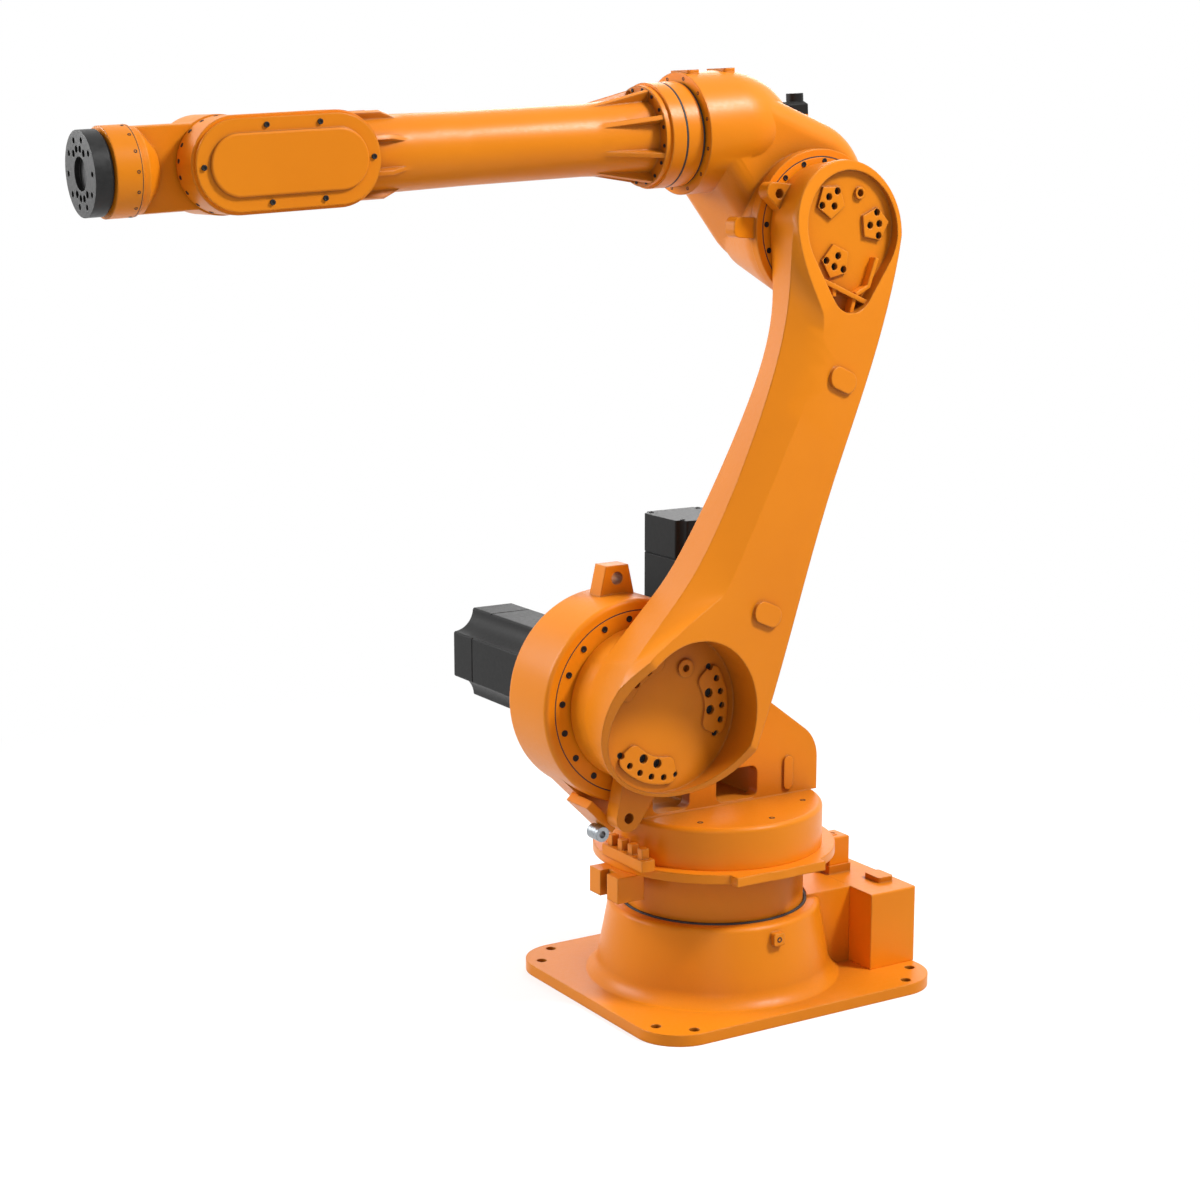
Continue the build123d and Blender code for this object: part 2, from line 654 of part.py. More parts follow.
waist_motor = build_motor(
    Plane(origin=(WAIST_MOTOR_X, WAIST_MOTOR_Y, SHELF_TOP_Z + ADAPTER_HEIGHT)),
    WAIST_MOTOR_SIZE,
    WAIST_MOTOR_LENGTH,
    WAIST_MOTOR_SCOOP,
)
save(waist_motor, "waist_motor")

# Shoulder stop bracket on the slanted front of the column, with a steel bush through it
bracket_seat = Plane(
    origin=(front_foot_x, TOWER_FACE_Y, BRACKET_Z), x_dir=(cos(slope), 0, sin(slope)), z_dir=TO_BACK
)
with BuildPart() as shoulder_stop_bracket:
    with BuildSketch(side(bracket_seat, BRACKET_WIDTH)):
        Rectangle(BRACKET_LENGTH, BRACKET_THICK, align=(Align.MIN, Align.MAX))
    extrude(amount=BRACKET_WIDTH + BRACKET_HOLD)
save(shoulder_stop_bracket, "shoulder_stop_bracket")

with BuildPart() as shoulder_stop_bush:
    with BuildSketch(side(bracket_seat, BRACKET_WIDTH)):
        with Locations((BUSH_RADIUS, -BRACKET_THICK - BUSH_RADIUS)):
            Circle(BUSH_RADIUS)
            Circle(BUSH_BORE / 2, mode=Mode.SUBTRACT)
    extrude(amount=BUSH_LENGTH)
save(shoulder_stop_bush, "shoulder_stop_bush")

# Cable cleats on the front of the turning disc
with BuildPart() as cable_cleats:
    with BuildSketch(Plane.XY.offset(disc_top_z)):
        with Locations((COLUMN_FOOT_RADIUS + FIT, CLEAT_Y)):
            Rectangle(
                CLEAT_BAR_DEPTH, CLEAT_PITCH * CLEAT_COUNT, align=(Align.MIN, Align.CENTER)
            )
    extrude(amount=CLEAT_BAR_HEIGHT)
    with BuildSketch(Plane.XY.offset(disc_top_z)):
        with Locations((COLUMN_FOOT_RADIUS + FIT + CLEAT_BAR_DEPTH / 2, CLEAT_Y)):
            with GridLocations(CLEAT_PITCH, CLEAT_PITCH, 1, CLEAT_COUNT):
                Rectangle(CLEAT_SIZE, CLEAT_SIZE)
    extrude(amount=CLEAT_BAR_HEIGHT + CLEAT_HEIGHT)
save(cable_cleats, "cable_cleats")

# Lower arm: a beam drawn through three outlines, the outer two on planes tilted to the first
hub_start_y = DRUM_FACE_Y + RUN_GAP
head_start_y = ELBOW_FACE_Y + RUN_GAP
fall = tan(radians(ARM_FACE_FALL))
tilt = tan(radians(ARM_FACE_TILT))
arm_outer = Plane(
    origin=side(arm, ARM_OUTER_Y).origin,
    x_dir=arm.x_dir - arm.z_dir * tilt,
    z_dir=arm.z_dir + arm.x_dir * tilt - arm.y_dir * fall,
)
arm_section = Plane(origin=arm.origin, x_dir=arm.y_dir, z_dir=-arm.x_dir)
arm_head = Plane(origin=elbow.origin, x_dir=arm.x_dir, z_dir=TO_BACK)


def arm_outline(low_radius, top_radius, waist):
    """The beam's outline: a nearly straight back, round ends and a hollow front that runs into both."""
    back_turn = radians(BACK_TURN)
    low_back = (-low_radius, 0)
    top_back = (-top_radius * cos(back_turn), LOWER_ARM_LENGTH + top_radius * sin(back_turn))
    low_point = (waist + FRONT_LOW_RISE, FRONT_LOW_ALONG)
    top_point = (waist + FRONT_HIGH_RISE, FRONT_HIGH_ALONG)
    low_turn = atan2(low_point[1], low_point[0]) - acos(low_radius / hypot(low_point[0], low_point[1]))
    top_reach = LOWER_ARM_LENGTH - FRONT_HIGH_ALONG
    top_turn = acos(top_radius / hypot(top_point[0], top_reach)) - atan2(top_reach, top_point[0])
    low_front = (low_radius * cos(low_turn), low_radius * sin(low_turn))
    top_front = (top_radius * cos(top_turn), LOWER_ARM_LENGTH + top_radius * sin(top_turn))
    Spline(
        low_back,
        (-top_radius - BACK_BULGE, BACK_LOW_ALONG),
        (-top_radius - BACK_BULGE, BACK_HIGH_ALONG),
        top_back,
        tangents=((0, 1), (sin(back_turn), cos(back_turn))),
    )
    ThreePointArc(top_back, (0, LOWER_ARM_LENGTH + top_radius), top_front)
    Spline(
        top_front,
        top_point,
        (waist, ARM_WAIST_ALONG),
        low_point,
        low_front,
        tangents=((sin(top_turn), -cos(top_turn)), (sin(low_turn), -cos(low_turn))),
    )
    ThreePointArc(low_front, (0, -low_radius), low_back)


with BuildPart() as lower_arm_casting:
    with BuildSketch(side(arm, ARM_INNER_Y)):
        with BuildLine():
            arm_outline(HUB_RADIUS, ARM_TOP_RADIUS, ARM_WAIST_INNER)
        make_face()
    with BuildSketch(arm_outer.offset(ARM_EDGE_DEPTH)):
        with BuildLine():
            arm_outline(RECESS_RADIUS + RIM_WALL, ARM_TOP_OUTER_RADIUS, ARM_WAIST_EDGE)
        make_face()
    with BuildSketch(arm_outer):
        with BuildLine():
            arm_outline(RECESS_RADIUS + RIM_WALL, ARM_TOP_OUTER_RADIUS, ARM_WAIST_OUTER)
        make_face()
    loft(ruled=True)
    head_end = LOWER_ARM_LENGTH + 2 * ARM_TOP_RADIUS
    head_end_y = HEAD_SLOPE_Y - (head_end - HEAD_SLOPE_ALONG) * tan(radians(HEAD_SLOPE))
    head_start_along = HEAD_SLOPE_ALONG - ARM_TOP_RADIUS
    head_top_y = HEAD_SLOPE_Y + ARM_TOP_RADIUS * tan(radians(HEAD_SLOPE))
    with BuildSketch(arm_section):
        with BuildLine():
            Polyline(
                (head_start_along, head_top_y),
                (head_end, head_end_y),
                (head_end, head_top_y + ARM_TOP_RADIUS),
                (head_start_along, head_top_y + ARM_TOP_RADIUS),
                close=True,
            )
        make_face()
    extrude(amount=2 * ARM_TOP_RADIUS, both=True, mode=Mode.SUBTRACT)
    mouth_rise = tan(radians(MOUTH_SLOPE))
    mouth_low = RECESS_FLOOR_Y + MOUTH_LIP - RECESS_RADIUS * mouth_rise
    mouth_high = RECESS_FLOOR_Y + MOUTH_LIP + 2 * RECESS_RADIUS * mouth_rise
    with BuildSketch(arm_section):
        with BuildLine():
            Polyline(
                (-2 * RECESS_RADIUS, mouth_low),
                (RECESS_RADIUS, mouth_high),
                (-2 * RECESS_RADIUS, mouth_high),
                close=True,
            )
        make_face()
    extrude(amount=2 * RECESS_RADIUS, both=True, mode=Mode.SUBTRACT)
    with BuildSketch(side(arm, hub_start_y)):
        Circle(HUB_RADIUS)
    extrude(amount=-(ARM_INNER_Y - hub_start_y))
    with BuildSketch(side(arm, hub_start_y)):
        Circle(SHOULDER_SPIGOT_RADIUS)
    extrude(amount=RUN_GAP + SHOULDER_SPIGOT_LENGTH)
    with BuildSketch(side(arm_head, head_start_y)):
        Circle(ELBOW_SPIGOT_RADIUS)
    extrude(amount=RUN_GAP + ELBOW_SPIGOT_LENGTH)
    with BuildSketch(side(arm, LOW_LUG_Y)):
        with Locations((LOW_LUG_OUT, LOW_LUG_ALONG)):
            Circle(LOW_LUG_RADIUS)
        with Locations((LOW_LUG_OUT, -LOW_LUG_ROOT)):
            Circle(LOW_LUG_ROOT_RADIUS)
        make_hull()
        with Locations((LOW_LUG_OUT, LOW_LUG_ALONG)):
            Circle(LOW_LUG_HOLE / 2, mode=Mode.SUBTRACT)
    extrude(amount=-LOW_LUG_THICK)
    with BuildSketch(side(arm_head, head_start_y)):
        with Locations((HIGH_LUG_OUT + HIGH_LUG_TIP - HIGH_LUG_TIP_RADIUS, HIGH_LUG_ALONG)):
            Circle(HIGH_LUG_TIP_RADIUS)
        with Locations((ARM_TOP_RADIUS - HIGH_LUG_ROOT_RADIUS, HIGH_LUG_ALONG)):
            Circle(HIGH_LUG_ROOT_RADIUS)
        make_hull()
        with Locations((HIGH_LUG_OUT + HIGH_LUG_HOLE / 2, HIGH_LUG_ALONG)):
            Circle(HIGH_LUG_HOLE / 2, mode=Mode.SUBTRACT)
    extrude(amount=-HIGH_LUG_THICK)
    with BuildSketch(arm_outer):
        with Locations((ARM_PAD_OUT, ARM_PAD_LOW_ALONG), (ARM_PAD_OUT, ARM_PAD_HIGH_ALONG)):
            SlotOverall(ARM_PAD_LENGTH, ARM_PAD_WIDTH)
    extrude(amount=-ARM_PAD_RAISE)
    with BuildSketch(side(arm, RECESS_FLOOR_Y)):
        Circle(RECESS_RADIUS)
    extrude(amount=-RECESS_RADIUS, mode=Mode.SUBTRACT)
    with BuildSketch(side(arm, POCKET_FLOOR_Y)):
        with Locations((0, LOWER_ARM_LENGTH)):
            Circle(POCKET_RADIUS)
        with Locations((POCKET_BOTTOM_OUT, POCKET_BOTTOM_ALONG + POCKET_BOTTOM_RADIUS)):
            Circle(POCKET_BOTTOM_RADIUS)
        make_hull()
    extrude(amount=-POCKET_RADIUS, mode=Mode.SUBTRACT)
    with BuildSketch(side(arm, POCKET_FLOOR_Y)):
        with Locations((POCKET_BOTTOM_OUT, POCKET_WEB_ALONG)):
            Rectangle(2 * POCKET_BOTTOM_RADIUS, POCKET_WEB_THICK)
    extrude(amount=-POCKET_WEB_HEIGHT)
    with BuildSketch(side(arm, RECESS_FLOOR_Y)) as kidneys:
        for pad in range(BOLT_PAD_COUNT):
            start = pad * 360 / BOLT_PAD_COUNT + BOLT_PAD_FIRST - KIDNEY_SPAN / 2
            with BuildLine():
                outside = CenterArc((0, 0), KIDNEY_RADIUS + KIDNEY_WIDTH / 2, start, KIDNEY_SPAN)
                inside = CenterArc((0, 0), KIDNEY_RADIUS - KIDNEY_WIDTH / 2, start, KIDNEY_SPAN)
                Line(outside @ 0, inside @ 0)
                Line(outside @ 1, inside @ 1)
            make_face()
        fillet(kidneys.vertices(), radius=KIDNEY_ROUND)
        with Locations((PORT_OUT, PORT_ALONG)):
            Circle(PORT_RADIUS)
    extrude(amount=-BOLT_PAD_RAISE)
    with BuildSketch(side(arm, POCKET_FLOOR_Y)):
        with Locations((0, LOWER_ARM_LENGTH)):
            with PolarLocations(HOUSE_RADIUS, BOLT_PAD_COUNT, start_angle=BOLT_PAD_FIRST):
                RegularPolygon(HOUSE_SIZE, HOUSE_SIDES)
        with Locations((0, LOWER_ARM_LENGTH + HEAD_PORT_ALONG)):
            Circle(HEAD_PORT_RADIUS)
    extrude(amount=-BOLT_PAD_RAISE)
    with BuildSketch(side(arm, RECESS_FLOOR_Y + BOLT_PAD_RAISE)):
        for pad in range(BOLT_PAD_COUNT):
            middle = pad * 360 / BOLT_PAD_COUNT + BOLT_PAD_FIRST
            first_hole = middle - KIDNEY_HOLE_STEP * (KIDNEY_HOLE_COUNT - 1) / 2
            first_pin = middle - KIDNEY_PIN_STEP * (KIDNEY_PIN_COUNT - 1) / 2
            with PolarLocations(
                KIDNEY_HOLE_RADIUS,
                KIDNEY_HOLE_COUNT,
                start_angle=first_hole,
                angular_range=KIDNEY_HOLE_STEP * (KIDNEY_HOLE_COUNT - 1),
                endpoint=True,
            ):
                Circle(KIDNEY_HOLE / 2)
            with PolarLocations(
                KIDNEY_PIN_RADIUS,
                KIDNEY_PIN_COUNT,
                start_angle=first_pin,
                angular_range=KIDNEY_PIN_STEP * (KIDNEY_PIN_COUNT - 1),
                endpoint=True,
            ):
                Circle(KIDNEY_PIN / 2)
        with Locations((PORT_OUT, PORT_ALONG)):
            Circle(PORT_HOLE / 2)
    extrude(amount=HOLE_DEPTH, mode=Mode.SUBTRACT)
    with BuildSketch(side(arm_head, POCKET_FLOOR_Y + BOLT_PAD_RAISE)):
        for pad in range(BOLT_PAD_COUNT):
            middle = pad * 360 / BOLT_PAD_COUNT + BOLT_PAD_FIRST
            first_hole = middle - HOUSE_HOLE_STEP * (HOUSE_HOLE_COUNT - 1) / 2
            with PolarLocations(
                HOUSE_HOLE_RADIUS,
                HOUSE_HOLE_COUNT,
                start_angle=first_hole,
                angular_range=HOUSE_HOLE_STEP * (HOUSE_HOLE_COUNT - 1),
                endpoint=True,
            ):
                Circle(HOUSE_HOLE / 2)
            with PolarLocations(HOUSE_PIN_RADIUS, 1, start_angle=middle):
                Circle(HOUSE_HOLE / 2)
        with Locations((0, HEAD_PORT_ALONG)):
            Circle(HOUSE_HOLE / 2)
    extrude(amount=HOLE_DEPTH, mode=Mode.SUBTRACT)
save(lower_arm_casting, "lower_arm_casting")

# Elbow housing: rounded body, domed roll housing, turned barrel for the elbow gear
roll_top = Plane(
    origin=fore.from_local_coords((0, ROLL_RADIUS + TOP_BOSS_RISE, 0)), x_dir=fore.x_dir, z_dir=fore.y_dir
)
plug_seat = Plane(origin=fore.from_local_coords((0, PLUG_SEAT_H, 0)), x_dir=fore.x_dir, z_dir=fore.y_dir)
with BuildPart() as elbow_housing:
    with BuildSketch(side(fore, BODY_FACE_Y)):
        with Locations((BODY_S, BODY_H)):
            Circle(BODY_RADIUS)
        with Locations((BODY_NECK_S, BODY_NECK_H)):
            Circle(BODY_NECK_RADIUS)
        make_hull()
    extrude(amount=BODY_FACE_Y - BODY_BACK_Y)
    fillet(elbow_housing.faces().filter_by(Axis.Y).edges(), radius=BODY_ROUND)
    with BuildSketch(fore):
        with BuildLine():
            Polyline((DOME_END, 0), (ROLL_SEAM, 0), (ROLL_SEAM, ROLL_RADIUS), (DOME_START, ROLL_RADIUS))
            TangentArc((DOME_START, ROLL_RADIUS), (DOME_END, 0), tangent=(-1, 0))
        make_face()
    revolve(axis=roll_axis(fore))
    with BuildSketch(through_axis(elbow)):
        with BuildLine():
            Polyline(
                (0, BARREL_BACK_Y),
                (BARREL_BACK_RADIUS, BARREL_BACK_Y),
                (BARREL_FRONT_RADIUS, BODY_FACE_Y),
                (BARREL_FRONT_RADIUS, ELBOW_FACE_Y - ELBOW_RIM_DEPTH),
                (ELBOW_RIM_RADIUS, ELBOW_FACE_Y - ELBOW_RIM_DEPTH),
                (ELBOW_RIM_RADIUS, ELBOW_FACE_Y),
                (0, ELBOW_FACE_Y),
                close=True,
            )
        make_face()
    revolve(axis=cross_axis(elbow))
    with BuildSketch(side(fore, STOP_BOSS_Y)):
        with Locations((STOP_BOSS_S, STOP_BOSS_H)):
            RectangleRounded(STOP_BOSS_LENGTH, STOP_BOSS_HEIGHT, STOP_BOSS_ROUND, rotation=STOP_BOSS_TURN)
    extrude(amount=STOP_BOSS_THICK)
    with BuildSketch(roll_top):
        with Locations((TOP_BOSS_S, 0)):
            with GridLocations(TOP_BOSS_PITCH, TOP_BOSS_PITCH, 2, 1):
                RectangleRounded(TOP_BOSS_LENGTH, TOP_BOSS_WIDTH, TOP_BOSS_ROUND)
    extrude(amount=-TOP_BOSS_ROOT)
    with BuildSketch(side(fore, BODY_BACK_Y - MOTOR_SEAT_RAISE)):
        with Locations((ELBOW_MOTOR_S, ELBOW_MOTOR_H)):
            Circle(MOTOR_SEAT_RADIUS)
    extrude(amount=-MOTOR_SEAT_DEPTH)
    with BuildSketch(plug_seat):
        with Locations((PLUG_S, PLUG_Y)):
            Rectangle(PLUG_LENGTH, PLUG_WIDTH)
    extrude(amount=-PLUG_SEAT_DEPTH)
    with BuildSketch(side(elbow, ELBOW_FACE_Y)):
        Circle(ELBOW_GEAR_RADIUS)
    extrude(amount=ELBOW_GEAR_DEPTH, mode=Mode.SUBTRACT)
    with BuildSketch(square_to(fore, ROLL_SEAM)):
        Circle(ROLL_SPIGOT_RADIUS + FIT)
    extrude(amount=-(ROLL_SPIGOT_LENGTH + END_GAP), mode=Mode.SUBTRACT)
save(elbow_housing, "elbow_housing")

# Black plug on the top of the elbow
with BuildPart() as elbow_plug:
    with BuildSketch(plug_seat):
        with Locations((PLUG_S, PLUG_Y)):
            Rectangle(PLUG_LENGTH, PLUG_WIDTH)
    extrude(amount=PLUG_HEIGHT)
    chamfer(elbow_plug.faces().sort_by(Axis.Z)[-1].edges(), length=PLUG_CHAMFER)
    with BuildSketch(plug_seat.offset(PLUG_HEIGHT)):
        with Locations((PLUG_S + PLUG_CAP_SHIFT, PLUG_Y)):
            Circle(PLUG_CAP_LENGTH / 2)
    extrude(amount=PLUG_CAP_HEIGHT)
save(elbow_plug, "elbow_plug")

with BuildPart() as elbow_gear:
    with BuildSketch(side(elbow, ELBOW_FACE_Y)):
        Circle(ELBOW_GEAR_RADIUS - FIT)
        Circle(ELBOW_SPIGOT_RADIUS + FIT, mode=Mode.SUBTRACT)
    extrude(amount=ELBOW_GEAR_DEPTH)
save(elbow_gear, "elbow_gear")

motor_face = fore.from_local_coords((ELBOW_MOTOR_S, ELBOW_MOTOR_H, MOTOR_SEAT_RAISE - BODY_BACK_Y))
elbow_motor = build_motor(
    Plane(origin=motor_face, x_dir=fore.x_dir, z_dir=TO_BACK),
    ELBOW_MOTOR_SIZE,
    ELBOW_MOTOR_LENGTH,
    ELBOW_MOTOR_SCOOP,
)
save(elbow_motor, "elbow_motor")

# Forearm: collar at the roll seam, finned casting, gear case beside the wrist
collar_start = ROLL_SEAM + RUN_GAP
collar_end = collar_start + COLLAR_LENGTH
with BuildPart() as forearm_collar:
    with BuildSketch(square_to(fore, collar_start)):
        Circle(ROLL_COLLAR)
    extrude(amount=COLLAR_LENGTH)
    with BuildSketch(square_to(fore, collar_start + COLLAR_LENGTH / 2)):
        Circle(ROLL_COLLAR)
        Circle(ROLL_COLLAR - COLLAR_GROOVE_DROP, mode=Mode.SUBTRACT)
    extrude(amount=COLLAR_GROOVE, mode=Mode.SUBTRACT)
    with BuildSketch(square_to(fore, collar_start)):
        Circle(ROLL_SPIGOT_RADIUS)
    extrude(amount=-(RUN_GAP + ROLL_SPIGOT_LENGTH))
save(forearm_collar, "forearm_collar")

flange_end = collar_end + CASTING_FLANGE_LENGTH
fork_end = WRIST_REACH - WRIST_HUB_RADIUS - FORK_CLEAR
case_centre = WRIST_REACH + (CASE_HEIGHT - CASE_LENGTH) / 2
with BuildPart() as forearm_casting:
    with BuildSketch(fore):
        with BuildLine():
            Polyline(
                (TUBE_END, TUBE_RADIUS),
                (FLARE_END, FLARE_RADIUS),
                (fork_end, FLARE_RADIUS),
                (fork_end, 0),
                (collar_end, 0),
                (collar_end, CASTING_FLANGE),
                (flange_end, CASTING_FLANGE),
                (flange_end, FLARE_ROOT_RADIUS),
                (TUBE_START, TUBE_RADIUS),
                close=True,
            )
        make_face()
    revolve(axis=roll_axis(fore))
    for fin in range(FIN_COUNT):
        turn = 2 * pi * (fin + 1 / 2) / FIN_COUNT
        with BuildSketch(Plane(fore.origin, fore.x_dir, fore.z_dir * cos(turn) - fore.y_dir * sin(turn))):
            with BuildLine():
                Polyline(
                    (collar_end, 0),
                    (collar_end, FIN_ROOT_RADIUS),
                    (flange_end, FIN_ROOT_RADIUS),
                    (FIN_END, 0),
                    close=True,
                )
            make_face()
            with BuildLine():
                Polyline(
                    (FIN_HEAD_START, 0),
                    (FLARE_END, FIN_HEAD_RADIUS),
                    (fork_end, FIN_HEAD_RADIUS),
                    (fork_end, 0),
                    close=True,
                )
            make_face()
        extrude(amount=FIN_THICK / 2, both=True)
    with BuildSketch(side(fore, CASE_OUTER_Y)):
        with Locations((case_centre, 0)):
            SlotOverall(CASE_LENGTH, CASE_HEIGHT)
    extrude(amount=CASE_OUTER_Y - CASE_INNER_Y)
    with BuildSketch(side(bend, CASE_INNER_Y)):
        Circle(BEND_SPIGOT_RADIUS + FIT)
    extrude(amount=-(BEND_SPIGOT_LENGTH + END_GAP), mode=Mode.SUBTRACT)
save(forearm_casting, "forearm_casting")

with BuildPart() as wrist_cover:
    with BuildSketch(side(fore, CASE_OUTER_Y + COVER_THICK)):
        with Locations((case_centre, 0)):
            SlotOverall(CASE_LENGTH - COVER_MARGIN, CASE_HEIGHT - COVER_MARGIN)
    extrude(amount=COVER_THICK)
    with BuildSketch(side(fore, CASE_OUTER_Y + COVER_THICK)):
        with Locations((case_centre, 0)):
            SlotOverall(CASE_LENGTH - 2 * PLATEAU_MARGIN, CASE_HEIGHT - 2 * PLATEAU_MARGIN)
    extrude(amount=-PLATEAU_THICK)
    fillet(wrist_cover.faces().sort_by(Axis.Y)[-1].edges(), radius=COVER_EDGE_ROUND)
save(wrist_cover, "wrist_cover")

# Wrist: hub beside the gear case, body out to the collar
hub_face_y = CASE_INNER_Y - RUN_GAP
with BuildPart() as wrist_body:
    with BuildSketch(square_to(bend, 0)):
        Circle(WRIST_BODY_RADIUS)
    extrude(amount=WRIST_CONE_END)
    with BuildSketch(through_axis(bend)):
        with Locations((0, hub_face_y)):
            Rectangle(WRIST_CONE_END, WRIST_BODY_RADIUS, align=(Align.MIN, Align.MIN))
    extrude(amount=WRIST_BODY_RADIUS, both=True, mode=Mode.SUBTRACT)
    with BuildSketch(bend):
        with BuildLine():
            Polyline(
                (WRIST_CONE_START, 0),
                (WRIST_CONE_START, WRIST_CONE_RADIUS),
                (WRIST_CONE_END, WRIST_BODY_RADIUS),
                (WRIST_BODY_END, WRIST_BODY_RADIUS),
                (WRIST_BODY_END, 0),
                close=True,
            )
        make_face()
    revolve(axis=roll_axis(bend))
    with BuildSketch(side(bend, hub_face_y)):
        Circle(WRIST_HUB_RADIUS)
    extrude(amount=hub_face_y - WRIST_HUB_BACK_Y)
    with BuildSketch(side(bend, hub_face_y)):
        Circle(BEND_SPIGOT_RADIUS)
    extrude(amount=-(RUN_GAP + BEND_SPIGOT_LENGTH))
save(wrist_body, "wrist_body")

collar_s = WRIST_BODY_END
flange_back = FLANGE_REACH - FLANGE_THICK
with BuildPart() as wrist_collar:
    with BuildSketch(square_to(bend, collar_s)):
        Circle(WRIST_COLLAR_RADIUS)
    extrude(amount=flange_back - RUN_GAP - collar_s)
    with BuildSketch(square_to(bend, flange_back - RUN_GAP)):
        Circle(TWIST_SPIGOT_RADIUS + FIT)
    extrude(amount=-(TWIST_SPIGOT_LENGTH + END_GAP), mode=Mode.SUBTRACT)
save(wrist_collar, "wrist_collar")

# Tool flange
with BuildPart() as tool_flange:
    with BuildSketch(square_to(bend, flange_back)):
        Circle(FLANGE_RADIUS)
    extrude(amount=FLANGE_THICK)
    with BuildSketch(square_to(bend, flange_back)):
        Circle(TWIST_SPIGOT_RADIUS)
    extrude(amount=-(RUN_GAP + TWIST_SPIGOT_LENGTH))
    with BuildSketch(square_to(bend, FLANGE_REACH)):
        Circle(FLANGE_BORE / 2)
    extrude(amount=-FLANGE_BORE_DEPTH, mode=Mode.SUBTRACT)
    with BuildSketch(square_to(bend, FLANGE_REACH)):
        with PolarLocations(FLANGE_BOLT_CIRCLE / 2, FLANGE_BOLT_COUNT):
            Circle(FLANGE_BOLT_HOLE / 2)
    extrude(amount=-FLANGE_THICK, mode=Mode.SUBTRACT)
    row_turn = FLANGE_TOOL_STEP * (FLANGE_TOOL_ROW - 1)
    with BuildSketch(square_to(bend, FLANGE_REACH)):
        for row_middle in (QUARTER_TURN, -QUARTER_TURN):
            with PolarLocations(
                FLANGE_TOOL_CIRCLE / 2,
                FLANGE_TOOL_ROW,
                start_angle=row_middle - row_turn / 2,
                angular_range=row_turn,
                endpoint=True,
            ):
                Circle(FLANGE_TOOL_HOLE / 2)
    extrude(amount=-FLANGE_TOOL_DEPTH, mode=Mode.SUBTRACT)
save(tool_flange, "tool_flange")
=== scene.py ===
# %% [markdown]
# A floor-standing six-axis robot arm, dressed for a studio picture.
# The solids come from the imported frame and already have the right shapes, so this lesson gives them
# their paint, their screws and their seals, and then sets up a plain white studio around them.

import json
from math import cos, pi, radians, sin

import bmesh
import bpy
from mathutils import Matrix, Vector


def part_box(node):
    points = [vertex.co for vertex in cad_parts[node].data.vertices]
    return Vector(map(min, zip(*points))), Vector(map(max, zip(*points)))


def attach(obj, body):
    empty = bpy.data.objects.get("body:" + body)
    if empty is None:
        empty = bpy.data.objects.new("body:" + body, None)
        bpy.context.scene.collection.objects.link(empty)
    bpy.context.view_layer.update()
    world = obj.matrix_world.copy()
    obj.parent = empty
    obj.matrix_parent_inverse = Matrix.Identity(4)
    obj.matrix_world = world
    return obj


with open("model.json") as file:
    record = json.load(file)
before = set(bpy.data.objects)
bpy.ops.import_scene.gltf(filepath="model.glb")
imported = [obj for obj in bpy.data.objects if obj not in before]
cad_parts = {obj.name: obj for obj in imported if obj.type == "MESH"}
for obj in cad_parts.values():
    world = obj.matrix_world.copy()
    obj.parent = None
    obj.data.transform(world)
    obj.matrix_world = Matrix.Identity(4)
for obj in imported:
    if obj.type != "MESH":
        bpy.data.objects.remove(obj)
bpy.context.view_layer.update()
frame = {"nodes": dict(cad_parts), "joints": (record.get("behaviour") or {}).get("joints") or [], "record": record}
scene = bpy.context.scene

# %% [markdown]
# The camera comes first, because every later choice is judged through it.
# It stands in front of the arm's side, a little above the elbow, and looks slightly down.
# A short lens close by would swell what is near, so a long lens is used: it keeps the links'
# proportions as a catalogue picture does.

# %% Camera
CAMERA_PLACE = Vector((2.2795, 3.3050, 1.4772))
CAMERA_LOOK = Vector((-0.5158, -0.8349, -0.1920))
CAMERA_LENS = 70.215
CAMERA_SENSOR = 36


def new_object(name, data):
    """An object around a mesh, a lamp or a camera, put into the scene."""
    made = bpy.data.objects.new(name, data)
    scene.collection.objects.link(made)
    return made


def aim(thing, place, look):
    """Stand a camera or a lamp at a place and turn it to a direction."""
    thing.location = place
    thing.rotation_euler = look.to_track_quat("-Z", "Y").to_euler()


camera_data = bpy.data.cameras.new("studio_camera")
camera_data.lens = CAMERA_LENS
camera_data.sensor_width = CAMERA_SENSOR
camera = new_object("studio_camera", camera_data)
aim(camera, CAMERA_PLACE, CAMERA_LOOK)
scene.camera = camera
print("camera lens", CAMERA_LENS, "at", tuple(CAMERA_PLACE))

# %% [markdown]
# The links lean at rest, so screws and seals are easier to place in each link's own directions.
# A small class holds an origin on a joint's axis and two directions: forward along the reach, and up.
# The third direction is always the robot's side, which points toward the camera.
# The origins and the leans are read from the joints of the frame, so nothing is measured twice.

# %% Link frames
MM = 0.001
SIDE = Vector((0, 1, 0))
UP = Vector((0, 0, 1))


class Link:
    """An origin with forward and up directions, in metres."""

    def __init__(self, origin, up):
        self.origin = Vector(origin)
        self.up = up.normalized()
        self.forward = SIDE.cross(self.up)

    def at(self, forward=0, up=0, side=0):
        """A point of this link in the robot's frame; the three sizes are in millimetres."""
        return self.origin + (self.forward * forward + self.up * up + SIDE * side) * MM


pivots = {joint["name"]: Vector(joint["pos_m"]) for joint in frame["joints"]}
axes = {joint["name"]: Vector(joint["axis"]) for joint in frame["joints"]}
foot = Link((0, 0, 0), UP)
shoulder = Link(pivots["shoulder_lean"], UP)
lower_arm = Link(shoulder.origin, pivots["elbow_lift"] - shoulder.origin)
head_end = Link(pivots["elbow_lift"], lower_arm.up)
elbow = Link(pivots["elbow_lift"], axes["forearm_roll"].cross(SIDE))
forearm = Link(pivots["forearm_roll"], elbow.up)
wrist = Link(pivots["wrist_bend"], elbow.up)
print("elbow axis at", tuple(elbow.origin), "wrist axis at", tuple(wrist.origin))

